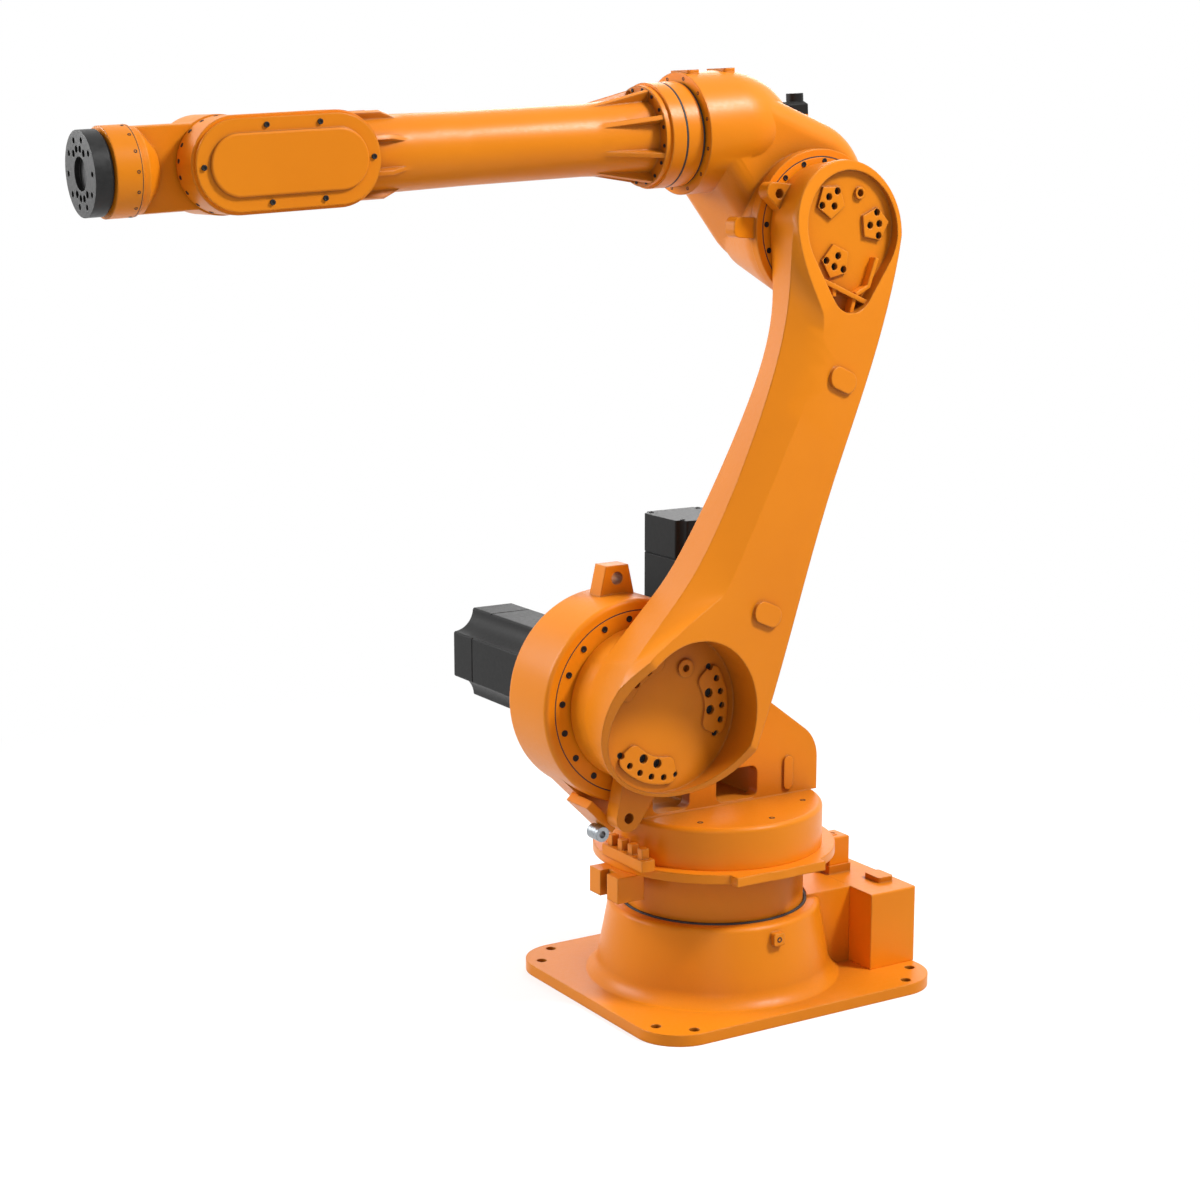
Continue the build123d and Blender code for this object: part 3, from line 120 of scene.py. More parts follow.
# %% [markdown]
# Every surface of the machine shares four small effects, so each becomes a shader group.
# The first rounds sharp edges a little and finds where they are: paint wears thin on edges, and the
# same mask lays a painted highlight along them.
# The second is the skin of a painted casting: slow changes of tone, and the fine peel of sprayed paint.
# The third is the dust that settles on whatever faces up.
# The fourth is painted shade: it finds recesses and inner corners, where shade falls, and the paint
# is darkened there.
# It looks at the shape of its own piece alone, so it stays the same when the joints move.
# The groups hand out masks, values and normals only, and each material mixes them its own way.

# %% Helpers for shader groups
def new_group(name, inputs, outputs):
    """An empty shader group with named sockets; inputs have a start value."""
    group = bpy.data.node_groups.new(name, "ShaderNodeTree")
    for socket, start in inputs.items():
        made = group.interface.new_socket(socket, in_out="INPUT", socket_type="NodeSocketFloat")
        made.default_value = start
    for socket, kind in outputs.items():
        group.interface.new_socket(socket, in_out="OUTPUT", socket_type=kind)
    entry = group.nodes.new("NodeGroupInput")
    leave = group.nodes.new("NodeGroupOutput")
    return group, entry, leave


def add(tree, kind, **values):
    """A node with its properties set; a name that is a socket sets that socket instead."""
    node = tree.nodes.new(kind)
    for key, value in values.items():
        if key in node.inputs:
            node.inputs[key].default_value = value
        else:
            setattr(node, key, value)
    return node


def join(tree, source, target):
    """Link two sockets; a plain value as the source is set on the target."""
    if isinstance(source, bpy.types.NodeSocket):
        tree.links.new(source, target)
    else:
        target.default_value = source


# %% Helpers for values in a shader
def maths(tree, operation, first, second):
    """One maths node; each side is a socket or a number."""
    node = add(tree, "ShaderNodeMath", operation=operation)
    join(tree, first, node.inputs[0])
    join(tree, second, node.inputs[1])
    return node.outputs[0]


def mapped(tree, source, low, high, to_low=0.0, to_high=1.0, way="LINEAR"):
    """A value carried from one range to another and kept inside it."""
    node = add(tree, "ShaderNodeMapRange", interpolation_type=way)
    ends = {"From Min": low, "From Max": high, "To Min": to_low, "To Max": to_high}
    for socket, value in ends.items():
        node.inputs[socket].default_value = value
    join(tree, source, node.inputs["Value"])
    return node.outputs["Result"]


def noise(tree, scale, detail):
    """Noise on the piece's own coordinates; the scale is a socket or a number."""
    where = add(tree, "ShaderNodeTexCoord")
    texture = add(tree, "ShaderNodeTexNoise", Detail=detail)
    join(tree, where.outputs["Object"], texture.inputs["Vector"])
    join(tree, scale, texture.inputs["Scale"])
    return texture.outputs["Fac"]


# %% Edge wear and painted highlight group
BEVEL_SAMPLES = 4
EDGE_TURN = (0.02, 0.22)
WEAR_PATCHES = (0.35, 0.7)
WEAR_DETAIL = 6.0
edges_worn_and_highlit, entry, leave = new_group(
    "edges_worn_and_highlit",
    {"Radius": 0.003, "Patch Scale": 30.0, "Amount": 0.5},
    {"Mask": "NodeSocketFloat", "Normal": "NodeSocketVector"},
)
# The mask marks edges: the paint turns paler there, partly for worn thin paint and partly as a painted highlight;
# the metals show bare worn edges.
rounded = add(edges_worn_and_highlit, "ShaderNodeBevel", samples=BEVEL_SAMPLES)
join(edges_worn_and_highlit, entry.outputs["Radius"], rounded.inputs["Radius"])
true_face = add(edges_worn_and_highlit, "ShaderNodeNewGeometry")
agree = add(edges_worn_and_highlit, "ShaderNodeVectorMath", operation="DOT_PRODUCT")
join(edges_worn_and_highlit, rounded.outputs["Normal"], agree.inputs[0])
join(edges_worn_and_highlit, true_face.outputs["Normal"], agree.inputs[1])
turned = maths(edges_worn_and_highlit, "SUBTRACT", 1.0, agree.outputs["Value"])
edge = mapped(edges_worn_and_highlit, turned, *EDGE_TURN)
patches = noise(edges_worn_and_highlit, entry.outputs["Patch Scale"], WEAR_DETAIL)
patchy = maths(edges_worn_and_highlit, "MULTIPLY", edge, mapped(edges_worn_and_highlit, patches, *WEAR_PATCHES))
join(edges_worn_and_highlit, maths(edges_worn_and_highlit, "MULTIPLY", patchy, entry.outputs["Amount"]), leave.inputs["Mask"])
join(edges_worn_and_highlit, rounded.outputs["Normal"], leave.inputs["Normal"])
print("group", edges_worn_and_highlit.name, "nodes", len(edges_worn_and_highlit.nodes))

# %% Casting skin group
TONE_DETAIL = 4.0
PEEL_DETAIL = 2.0
SAND_DETAIL = 3.0
PEEL_SHARE = 0.45
SAND_SHARE = 0.55
cast_skin, entry, leave = new_group(
    "cast_skin",
    {"Tone Scale": 3.0, "Peel Scale": 420.0, "Sand Scale": 90.0},
    {"Tone": "NodeSocketFloat", "Height": "NodeSocketFloat"},
)
tone = noise(cast_skin, entry.outputs["Tone Scale"], TONE_DETAIL)
peel = noise(cast_skin, entry.outputs["Peel Scale"], PEEL_DETAIL)
sand = noise(cast_skin, entry.outputs["Sand Scale"], SAND_DETAIL)
fine = maths(cast_skin, "MULTIPLY", peel, PEEL_SHARE)
coarse = maths(cast_skin, "MULTIPLY", sand, SAND_SHARE)
join(cast_skin, tone, leave.inputs["Tone"])
join(cast_skin, maths(cast_skin, "ADD", fine, coarse), leave.inputs["Height"])
print("group", cast_skin.name, "nodes", len(cast_skin.nodes))

# %% Settled dust group
FACING_UP = (0.55, 1.0)
DUST_DETAIL = 5.0
settled_dust, entry, leave = new_group(
    "settled_dust",
    {"Patch Scale": 12.0, "Amount": 0.3},
    {"Mask": "NodeSocketFloat"},
)
true_face = add(settled_dust, "ShaderNodeNewGeometry")
split = add(settled_dust, "ShaderNodeSeparateXYZ")
join(settled_dust, true_face.outputs["Normal"], split.inputs[0])
level = mapped(settled_dust, split.outputs["Z"], *FACING_UP)
patches = noise(settled_dust, entry.outputs["Patch Scale"], DUST_DETAIL)
lying = maths(settled_dust, "MULTIPLY", level, patches)
join(settled_dust, maths(settled_dust, "MULTIPLY", lying, entry.outputs["Amount"]), leave.inputs["Mask"])
print("group", settled_dust.name, "nodes", len(settled_dust.nodes))

# %% Recess painted shade group
OPEN_SKY_SAMPLES = 8
CLOSED_IN = (0.92, 0.30)
recess_painted_shade, entry, leave = new_group(
    "recess_painted_shade",
    {"Reach": 0.1, "Amount": 0.5},
    {"Mask": "NodeSocketFloat"},
)
# Painted shade: a mask that grows where the piece is closed in, so that the paint can be darkened there as if in
# shade.
open_sky = add(
    recess_painted_shade, "ShaderNodeAmbientOcclusion", samples=OPEN_SKY_SAMPLES, only_local=True
)
join(recess_painted_shade, entry.outputs["Reach"], open_sky.inputs["Distance"])
closed_in = mapped(recess_painted_shade, open_sky.outputs["AO"], *CLOSED_IN)
hidden = maths(recess_painted_shade, "MULTIPLY", closed_in, entry.outputs["Amount"])
join(recess_painted_shade, hidden, leave.inputs["Mask"])
print("group", recess_painted_shade.name, "nodes", len(recess_painted_shade.nodes))

# %% [markdown]
# The castings are sprayed with a satin orange enamel over a primer.
# A flat colour would look like plastic, so its tone drifts a little over the surface, its gloss
# changes with the peel, its edges turn paler, partly where the coat is thin and partly as a painted
# highlight, its recesses are darker with painted shade, and a trace of dust lies on top.
# All of it is worked out from the piece's own coordinates, so it stays on the piece when it moves.

# %% Material helpers
NOISE_RANGE = (0.3, 0.7)
MIX_FIRST_COLOUR = 6
MIX_SECOND_COLOUR = 7
MIX_COLOUR_RESULT = 2


def new_material(name):
    """A material with an empty node tree, its shader and its output."""
    material = bpy.data.materials.new(name)
    material.use_nodes = True
    tree = material.node_tree
    tree.nodes.clear()
    shader = tree.nodes.new("ShaderNodeBsdfPrincipled")
    output = tree.nodes.new("ShaderNodeOutputMaterial")
    join(tree, shader.outputs["BSDF"], output.inputs["Surface"])
    return material, tree, shader


def place_group(tree, group, **values):
    """One use of a shader group with its own values; an underscore stands for a space."""
    node = add(tree, "ShaderNodeGroup", node_tree=group)
    for socket, value in values.items():
        node.inputs[socket.replace("_", " ")].default_value = value
    return node


def mix_colours(tree, amount, first, second):
    """A colour between two, by a mask; each side is a socket or a colour."""
    node = add(tree, "ShaderNodeMix", data_type="RGBA")
    join(tree, amount, node.inputs["Factor"])
    for place, value in ((MIX_FIRST_COLOUR, first), (MIX_SECOND_COLOUR, second)):
        join(tree, (*value, 1.0) if isinstance(value, tuple) else value, node.inputs[place])
    return node.outputs[MIX_COLOUR_RESULT]


def spread(tree, source, low, high):
    """A value stretched from a noise's usual range to the given range."""
    return mapped(tree, source, *NOISE_RANGE, low, high)


def bumped(tree, height, strength, distance, normal=None):
    """A bump, over another normal where there is one."""
    node = add(tree, "ShaderNodeBump", Strength=strength, Distance=distance)
    join(tree, height, node.inputs["Height"])
    if normal is not None:
        join(tree, normal, node.inputs["Normal"])
    return node.outputs["Normal"]


# %% Sprayed paint
PAINT_SKIN = {"Tone_Scale": 2.6, "Peel_Scale": 520.0, "Sand_Scale": 140.0}
# Edge mask for paler edges: worn thin paint and a painted highlight.
PAINT_EDGE_WEAR_AND_HIGHLIGHT = {"Patch_Scale": 24.0, "Amount": 0.45}
# Painted shade in recesses and inner corners.
PAINT_RECESS_SHADE = {"Reach": 0.12, "Amount": 0.75}
PAINT_DUST = {"Patch_Scale": 9.0, "Amount": 0.06}
GLOSS_BELOW = 0.05
GLOSS_ABOVE = 0.07
PEEL_DEPTH = 0.0006


def painted(name, deep, bright, thin_and_highlit_edge, recess_shade, dust, rough, peel, edge_radius, shine):
    """Sprayed paint on a casting: two tones, paler edges (thin paint and a painted highlight), painted shade in
    recesses, a little dust and a peel.
    """
    material, tree, shader = new_material(name)
    shader.inputs["Specular IOR Level"].default_value = shine
    skin = place_group(tree, cast_skin, **PAINT_SKIN)
    edge_band = place_group(tree, edges_worn_and_highlit, Radius=edge_radius, **PAINT_EDGE_WEAR_AND_HIGHLIGHT)
    shade_in_recesses = place_group(tree, recess_painted_shade, **PAINT_RECESS_SHADE)
    dirt = place_group(tree, settled_dust, **PAINT_DUST)
    colour = mix_colours(tree, spread(tree, skin.outputs["Tone"], 0.0, 1.0), deep, bright)
    # Paler edges: partly worn thin paint, partly a painted highlight.
    colour = mix_colours(tree, edge_band.outputs["Mask"], colour, thin_and_highlit_edge)
    # Painted shade: recesses and inner corners are mixed toward a darker colour.
    colour = mix_colours(tree, shade_in_recesses.outputs["Mask"], colour, recess_shade)
    colour = mix_colours(tree, dirt.outputs["Mask"], colour, dust)
    join(tree, colour, shader.inputs["Base Color"])
    gloss = spread(tree, skin.outputs["Height"], rough - GLOSS_BELOW, rough + GLOSS_ABOVE)
    join(tree, maths(tree, "ADD", gloss, dirt.outputs["Mask"]), shader.inputs["Roughness"])
    normal = bumped(tree, skin.outputs["Height"], peel, PEEL_DEPTH, edge_band.outputs["Normal"])
    join(tree, normal, shader.inputs["Normal"])
    return material


# %% Orange enamel and black motor paint
BLACK_DUST = (0.10, 0.097, 0.093)
# In both paints the colour for recesses is painted shade, and the colour for edges is partly worn thin paint and
# partly a painted highlight.
orange_enamel = painted(
    "orange_enamel",
    deep=(0.76, 0.218, 0.005),
    bright=(0.84, 0.256, 0.007),
    thin_and_highlit_edge=(0.93, 0.42, 0.09),
    recess_shade=(0.20, 0.062, 0.008),
    dust=(0.62, 0.36, 0.14),
    rough=0.34,
    peel=0.16,
    edge_radius=0.004,
    shine=0.2,
)
motor_black = painted(
    "motor_black",
    deep=(0.008, 0.008, 0.008),
    bright=(0.014, 0.014, 0.014),
    thin_and_highlit_edge=(0.09, 0.09, 0.09),
    recess_shade=(0.004, 0.004, 0.004),
    dust=BLACK_DUST,
    rough=0.42,
    peel=0.35,
    edge_radius=0.002,
    shine=0.15,
)
print("materials", orange_enamel.name, motor_black.name)

# %% [markdown]
# The tool flange is a turned steel plate with a black finish, and the stop bush is turned from bright steel.
# A lathe leaves fine rings around the axis of the work, so the pattern has to circle that axis:
# a Mapping node moves the origin to the piece's centre and turns its axis upright, and rings follow.
# The screws share the same way of making, with a black oxide finish.

# %% Turned metal
METAL_SHINE = 0.3
METAL_GRAIN_SCALE = 160.0
METAL_GRAIN_DETAIL = 4.0
METAL_WEAR = {"Radius": 0.0012, "Patch_Scale": 60.0}
METAL_DUST = {"Patch_Scale": 15.0, "Amount": 0.15}
BARE_EDGE = (0.35, 0.35, 0.34)
ROUGH_BELOW = 0.06
ROUGH_ABOVE = 0.08
RING_WOBBLE = 0.4
RING_BUMP = 0.12
RING_DEPTH = 0.0003


def turned_metal(name, dark, bright, metallic, rough, centre, axis, ring_scale, wear_amount):
    """Metal off a lathe: rings round an axis, with bright edges."""
    material, tree, shader = new_material(name)
    shader.inputs["Metallic"].default_value = metallic
    shader.inputs["Specular IOR Level"].default_value = METAL_SHINE
    upright = axis.rotation_difference(UP)
    where = add(tree, "ShaderNodeTexCoord")
    centred = add(tree, "ShaderNodeMapping", Location=-(upright @ centre), Rotation=upright.to_euler())
    join(tree, where.outputs["Object"], centred.inputs["Vector"])
    rings = add(tree, "ShaderNodeTexWave", wave_type="RINGS", rings_direction="Z")
    rings.inputs["Scale"].default_value = ring_scale
    rings.inputs["Distortion"].default_value = RING_WOBBLE
    join(tree, centred.outputs["Vector"], rings.inputs["Vector"])
    grain = noise(tree, METAL_GRAIN_SCALE, METAL_GRAIN_DETAIL)
    edge_band = place_group(tree, edges_worn_and_highlit, Amount=wear_amount, **METAL_WEAR)
    dirt = place_group(tree, settled_dust, **METAL_DUST)
    colour = mix_colours(tree, spread(tree, grain, 0.0, 1.0), dark, bright)
    colour = mix_colours(tree, edge_band.outputs["Mask"], colour, BARE_EDGE)
    colour = mix_colours(tree, dirt.outputs["Mask"], colour, BLACK_DUST)
    join(tree, colour, shader.inputs["Base Color"])
    join(tree, spread(tree, grain, rough - ROUGH_BELOW, rough + ROUGH_ABOVE), shader.inputs["Roughness"])
    normal = bumped(tree, rings.outputs["Fac"], RING_BUMP, RING_DEPTH, edge_band.outputs["Normal"])
    join(tree, normal, shader.inputs["Normal"])
    return material


# %% Dark flange, bright bush and black screws
flange_dark = turned_metal(
    "flange_dark",
    dark=(0.007, 0.007, 0.007),
    bright=(0.013, 0.013, 0.013),
    metallic=0.0,
    rough=0.40,
    centre=wrist.at(forward=210),
    axis=wrist.forward,
    ring_scale=260.0,
    wear_amount=0.4,
)
bush_steel = turned_metal(
    "bush_steel",
    dark=(0.24, 0.26, 0.28),
    bright=(0.36, 0.38, 0.40),
    metallic=1.0,
    rough=0.32,
    centre=shoulder.origin,
    axis=SIDE,
    ring_scale=300.0,
    wear_amount=0.5,
)
screw_black = turned_metal(
    "screw_black",
    dark=(0.006, 0.006, 0.006),
    bright=(0.014, 0.013, 0.013),
    metallic=0.0,
    rough=0.45,
    centre=shoulder.origin,
    axis=SIDE,
    ring_scale=200.0,
    wear_amount=0.08,
)
print("materials", flange_dark.name, bush_steel.name, screw_black.name)

# %% [markdown]
# The shaft seals are black rubber: matt, slightly mottled, with the soft grain of a moulded ring.
# The skin group already gives such a mottle, so the rubber takes it at a finer scale than the paint.

# %% Seal rubber
RUBBER_DARK = (0.010, 0.010, 0.010)
RUBBER_PALE = (0.024, 0.024, 0.025)
RUBBER_SKIN = {"Tone_Scale": 18.0, "Peel_Scale": 900.0, "Sand_Scale": 300.0}
RUBBER_DUST = {"Patch_Scale": 30.0, "Amount": 0.3}
RUBBER_ROUGH = (0.55, 0.75)
RUBBER_BUMP = 0.3
RUBBER_DEPTH = 0.0004
seal_rubber, tree, shader = new_material("seal_rubber")
skin = place_group(tree, cast_skin, **RUBBER_SKIN)
dirt = place_group(tree, settled_dust, **RUBBER_DUST)
colour = mix_colours(tree, spread(tree, skin.outputs["Tone"], 0.0, 1.0), RUBBER_DARK, RUBBER_PALE)
colour = mix_colours(tree, dirt.outputs["Mask"], colour, BLACK_DUST)
join(tree, colour, shader.inputs["Base Color"])
join(tree, spread(tree, skin.outputs["Height"], *RUBBER_ROUGH), shader.inputs["Roughness"])
join(tree, bumped(tree, skin.outputs["Height"], RUBBER_BUMP, RUBBER_DEPTH), shader.inputs["Normal"])
print("material", seal_rubber.name)

# %% [markdown]
# The solids arrive as loose triangles with flat faces, so a cylinder shows its facets.
# Their meshes stay as they are, but a modifier may finish them: a small Geometry Nodes tree
# merges the triangles and marks an edge sharp where its faces meet at a clear angle.
# A Weighted Normal after it keeps the large flat faces flat beside the rounded ones.

# %% Smoothing tree
def make_smoothing_tree():
    """Merges loose triangles and shades them smooth up to an angle."""
    tree = bpy.data.node_groups.new("smooth_castings", "GeometryNodeTree")
    tree.interface.new_socket("Geometry", in_out="INPUT", socket_type="NodeSocketGeometry")
    gap = tree.interface.new_socket("Merge Distance", in_out="INPUT", socket_type="NodeSocketFloat")
    angle = tree.interface.new_socket("Sharp Angle", in_out="INPUT", socket_type="NodeSocketFloat")
    tree.interface.new_socket("Geometry", in_out="OUTPUT", socket_type="NodeSocketGeometry")
    entry = tree.nodes.new("NodeGroupInput")
    leave = tree.nodes.new("NodeGroupOutput")
    merge = tree.nodes.new("GeometryNodeMergeByDistance")
    bare = add(tree, "GeometryNodeRemoveAttribute", Name="custom_normal")
    fold = tree.nodes.new("GeometryNodeInputMeshEdgeAngle")
    gentle = add(tree, "FunctionNodeCompare", data_type="FLOAT", operation="LESS_EQUAL")
    smooth_edges = add(tree, "GeometryNodeSetShadeSmooth", domain="EDGE")
    smooth_faces = add(tree, "GeometryNodeSetShadeSmooth", domain="FACE")
    join(tree, entry.outputs["Geometry"], merge.inputs["Geometry"])
    join(tree, entry.outputs["Merge Distance"], merge.inputs["Distance"])
    join(tree, merge.outputs["Geometry"], bare.inputs["Geometry"])
    join(tree, bare.outputs["Geometry"], smooth_edges.inputs["Geometry"])
    join(tree, fold.outputs["Unsigned Angle"], gentle.inputs["A"])
    join(tree, entry.outputs["Sharp Angle"], gentle.inputs["B"])
    join(tree, gentle.outputs["Result"], smooth_edges.inputs["Shade Smooth"])
    join(tree, smooth_edges.outputs["Geometry"], smooth_faces.inputs["Geometry"])
    join(tree, smooth_faces.outputs["Geometry"], leave.inputs["Geometry"])
    return tree, gap.identifier, angle.identifier


smoothing, merge_input, angle_input = make_smoothing_tree()
print("tree", smoothing.name, "nodes", len(smoothing.nodes))

# %% Dress the solids
MERGE_DISTANCE = 0.00002
SHARP_ANGLE = radians(32)
finishes = {"paint": orange_enamel, "motor": motor_black, "flange": flange_dark, "steel": bush_steel}
slots = {row["node"]: row["material_slot"] for row in frame["record"]["subparts"]}
for name, node in frame["nodes"].items():
    modifier = node.modifiers.new("smooth_castings", "NODES")
    modifier.node_group = smoothing
    modifier[merge_input] = MERGE_DISTANCE
    modifier[angle_input] = SHARP_ANGLE
    weighted = node.modifiers.new("flat_faces_stay_flat", "WEIGHTED_NORMAL")
    weighted.keep_sharp = True
    finish = finishes[slots[name]]
    if not node.material_slots:
        node.data.materials.append(finish)
    for material_slot in node.material_slots:
        material_slot.material = finish
print("dressed", len(frame["nodes"]), "solids")

# %% [markdown]
# The castings are held by socket-head screws, and the same screw repeats many times.
# Geometry Nodes suits that: a cloud of points carries each screw's direction and size,
# one head with its six-sided socket is cut once, and an instance of it stands on every point.
# The result is made real and kept as a plain mesh, one for each moving body and finish.

# %% Socket screws as a node tree
HEAD_SIDES = 24
KEY_SIDES = 6
HEAD_HEIGHT = 1.0
HEAD_RADIUS = 0.75
KEY_RADIUS = 0.46
KEY_DEPTH = 1.0


def make_screw_tree():
    """Points with a direction and a size become socket-head screws; the head is one unit high."""
    tree = bpy.data.node_groups.new("socket_screws", "GeometryNodeTree")
    tree.interface.new_socket("Geometry", in_out="INPUT", socket_type="NodeSocketGeometry")
    head = tree.interface.new_socket("Head Radius", in_out="INPUT", socket_type="NodeSocketFloat")
    key = tree.interface.new_socket("Key Radius", in_out="INPUT", socket_type="NodeSocketFloat")
    depth = tree.interface.new_socket("Key Depth", in_out="INPUT", socket_type="NodeSocketFloat")
    finish = tree.interface.new_socket("Finish", in_out="INPUT", socket_type="NodeSocketMaterial")
    tree.interface.new_socket("Geometry", in_out="OUTPUT", socket_type="NodeSocketGeometry")
    entry = tree.nodes.new("NodeGroupInput")
    leave = tree.nodes.new("NodeGroupOutput")
    body = add(tree, "GeometryNodeMeshCylinder", Vertices=HEAD_SIDES, Depth=HEAD_HEIGHT)
    socket = add(tree, "GeometryNodeMeshCylinder", Vertices=KEY_SIDES)
    join(tree, entry.outputs["Head Radius"], body.inputs["Radius"])
    join(tree, entry.outputs["Key Radius"], socket.inputs["Radius"])
    join(tree, entry.outputs["Key Depth"], socket.inputs["Depth"])
    raised = add(tree, "GeometryNodeTransform", Translation=(0, 0, HEAD_HEIGHT / 2))
    cutter = add(tree, "GeometryNodeTransform", Translation=(0, 0, HEAD_HEIGHT))
    join(tree, body.outputs["Mesh"], raised.inputs["Geometry"])
    join(tree, socket.outputs["Mesh"], cutter.inputs["Geometry"])
    cut = add(tree, "GeometryNodeMeshBoolean", operation="DIFFERENCE")
    join(tree, raised.outputs["Geometry"], cut.inputs["Mesh 1"])
    join(tree, cutter.outputs["Geometry"], cut.inputs["Mesh 2"])
    direction = add(tree, "GeometryNodeInputNamedAttribute", data_type="FLOAT_VECTOR", Name="direction")
    size = add(tree, "GeometryNodeInputNamedAttribute", data_type="FLOAT_VECTOR", Name="size")
    turn = add(tree, "FunctionNodeAlignRotationToVector", axis="Z")
    join(tree, direction.outputs["Attribute"], turn.inputs["Vector"])
    stand = tree.nodes.new("GeometryNodeInstanceOnPoints")
    join(tree, entry.outputs["Geometry"], stand.inputs["Points"])
    join(tree, cut.outputs["Mesh"], stand.inputs["Instance"])
    join(tree, turn.outputs["Rotation"], stand.inputs["Rotation"])
    join(tree, size.outputs["Attribute"], stand.inputs["Scale"])
    real = tree.nodes.new("GeometryNodeRealizeInstances")
    join(tree, stand.outputs["Instances"], real.inputs["Geometry"])
    coat = tree.nodes.new("GeometryNodeSetMaterial")
    join(tree, real.outputs["Geometry"], coat.inputs["Geometry"])
    join(tree, entry.outputs["Finish"], coat.inputs["Material"])
    join(tree, coat.outputs["Geometry"], leave.inputs["Geometry"])
    return tree, (head.identifier, key.identifier, depth.identifier, finish.identifier)


screw_tree, screw_inputs = make_screw_tree()
print("tree", screw_tree.name, "nodes", len(screw_tree.nodes))

# %% [markdown]
# Screws stand in circles round a joint's axis or in short rows, so a few helpers list their places.
# Each screw is a place, the direction its head points in, its thread and the height of its head.

# %% Helpers for the places of screws
screws = {}


def screw(body, place, direction, thread, height, finish="black"):
    """Note one screw; thread and head height are in millimetres."""
    rows = screws.setdefault((body, finish), [])
    rows.append((place, direction, Vector((thread * MM, thread * MM, height * MM))))


def screw_circle(body, link, axis, offset, radius, angles, thread, height, radial=False):
    """Screws round an axis of a link, with their heads along that axis or pointing outward."""
    facing, across = (SIDE, link.forward) if axis == "side" else (link.forward, SIDE)
    for angle in angles:
        outward = across * cos(radians(angle)) + link.up * sin(radians(angle))
        place = link.origin + (facing * offset + outward * radius) * MM
        screw(body, place, outward if radial else facing, thread, height)


def evenly(count, start=0.0):
    """Angles all the way round."""
    return [start + 360 * step / count for step in range(count)]


def about(middle, count, step):
    """Angles in a short row about a middle one."""
    return [middle + step * (place - (count - 1) / 2) for place in range(count)]


def top_middle(node):
    """The middle of a solid's upper side."""
    low, high = (Vector(corner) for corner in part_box(node))
    return Vector(((low.x + high.x) / 2, (low.y + high.y) / 2, high.z))


def count_screws():
    """How many screws each body has so far."""
    return {name: len(rows) for name, rows in screws.items()}


# %% Screws round the shoulder and the elbow
PAD_ANGLES = (30, 150, 270)
RECESS_SCREWS = {"axis": "side", "offset": 171.2, "height": 5}
POCKET_SCREWS = {"axis": "side", "offset": 191.2, "height": 5, "thread": 7.6}
screw_circle(
    "turret", shoulder, "side",
    offset=83, radius=143, angles=evenly(18, start=5), thread=7.4, height=2.2,
)
screw_circle(
    "elbow", elbow, "side",
    offset=126.2, radius=110, angles=evenly(16, start=7), thread=6.2, height=1.8,
)
for pad in PAD_ANGLES:
    outer_row = about(pad, count=6, step=13)
    inner_row = about(pad, count=2, step=20)
    screw_circle("lower_arm", lower_arm, radius=108, angles=outer_row, thread=7.0, **RECESS_SCREWS)
    screw_circle("lower_arm", lower_arm, radius=85, angles=inner_row, thread=10.2, **RECESS_SCREWS)
for pad in PAD_ANGLES:
    outer_row = about(pad, count=3, step=17)
    screw_circle("lower_arm", head_end, radius=66, angles=outer_row, **POCKET_SCREWS)
    screw_circle("lower_arm", head_end, radius=47, angles=(pad,), **POCKET_SCREWS)
print("screws so far", count_screws())

# %% Screws along the forearm and the wrist
COVER_BEHIND_WRIST = 80.5
COVER_FACE = 87
COVER_SCREWS = ((-52, 56), (34, 56), (-52, -56), (34, -56), (-136.5, 0), (136.5, 0))
bend_angles = about(middle=8, count=9, step=19)
screw_circle(
    "forearm", forearm, "forward",
    offset=268, radius=76, angles=evenly(16, start=11.25), thread=4, height=2,
)
screw_circle(
    "elbow", forearm, "forward",
    offset=187, radius=92, angles=evenly(12, start=15), thread=4, height=7,
)
screw_circle(
    "wrist", wrist, "forward",
    offset=147, radius=66.4, angles=evenly(14), thread=3.4, height=1.1, radial=True,
)
screw_circle(
    "forearm", wrist, "side",
    offset=31, radius=71.4, angles=bend_angles, thread=4.6, height=1.3, radial=True,
)
for forward, up in COVER_SCREWS:
    place = wrist.at(forward - COVER_BEHIND_WRIST, up, COVER_FACE)
    screw("forearm", place, SIDE, thread=5.6, height=3)
print("screws so far", count_screws())

# %% Screws on the turret foot and the base
FOOT_BOLT_CIRCLE = 157
FOOT_BOLT_SEAT = 334.5
BLOCK_SCREW_SINK = 1
for angle in about(middle=95, count=3, step=48):
    across = FOOT_BOLT_CIRCLE * sin(radians(angle))
    ahead = FOOT_BOLT_CIRCLE * cos(radians(angle))
    screw("turret", foot.at(ahead, FOOT_BOLT_SEAT, across), UP, thread=7, height=0.9)
block_screw = top_middle("waist_stop_block") - UP * BLOCK_SCREW_SINK * MM
screw("base", block_screw, UP, thread=12, height=2.5, finish="painted")
screw("base", foot.at(up=131, side=201.6), SIDE, thread=6.4, height=1.9)
print("screws so far", count_screws())

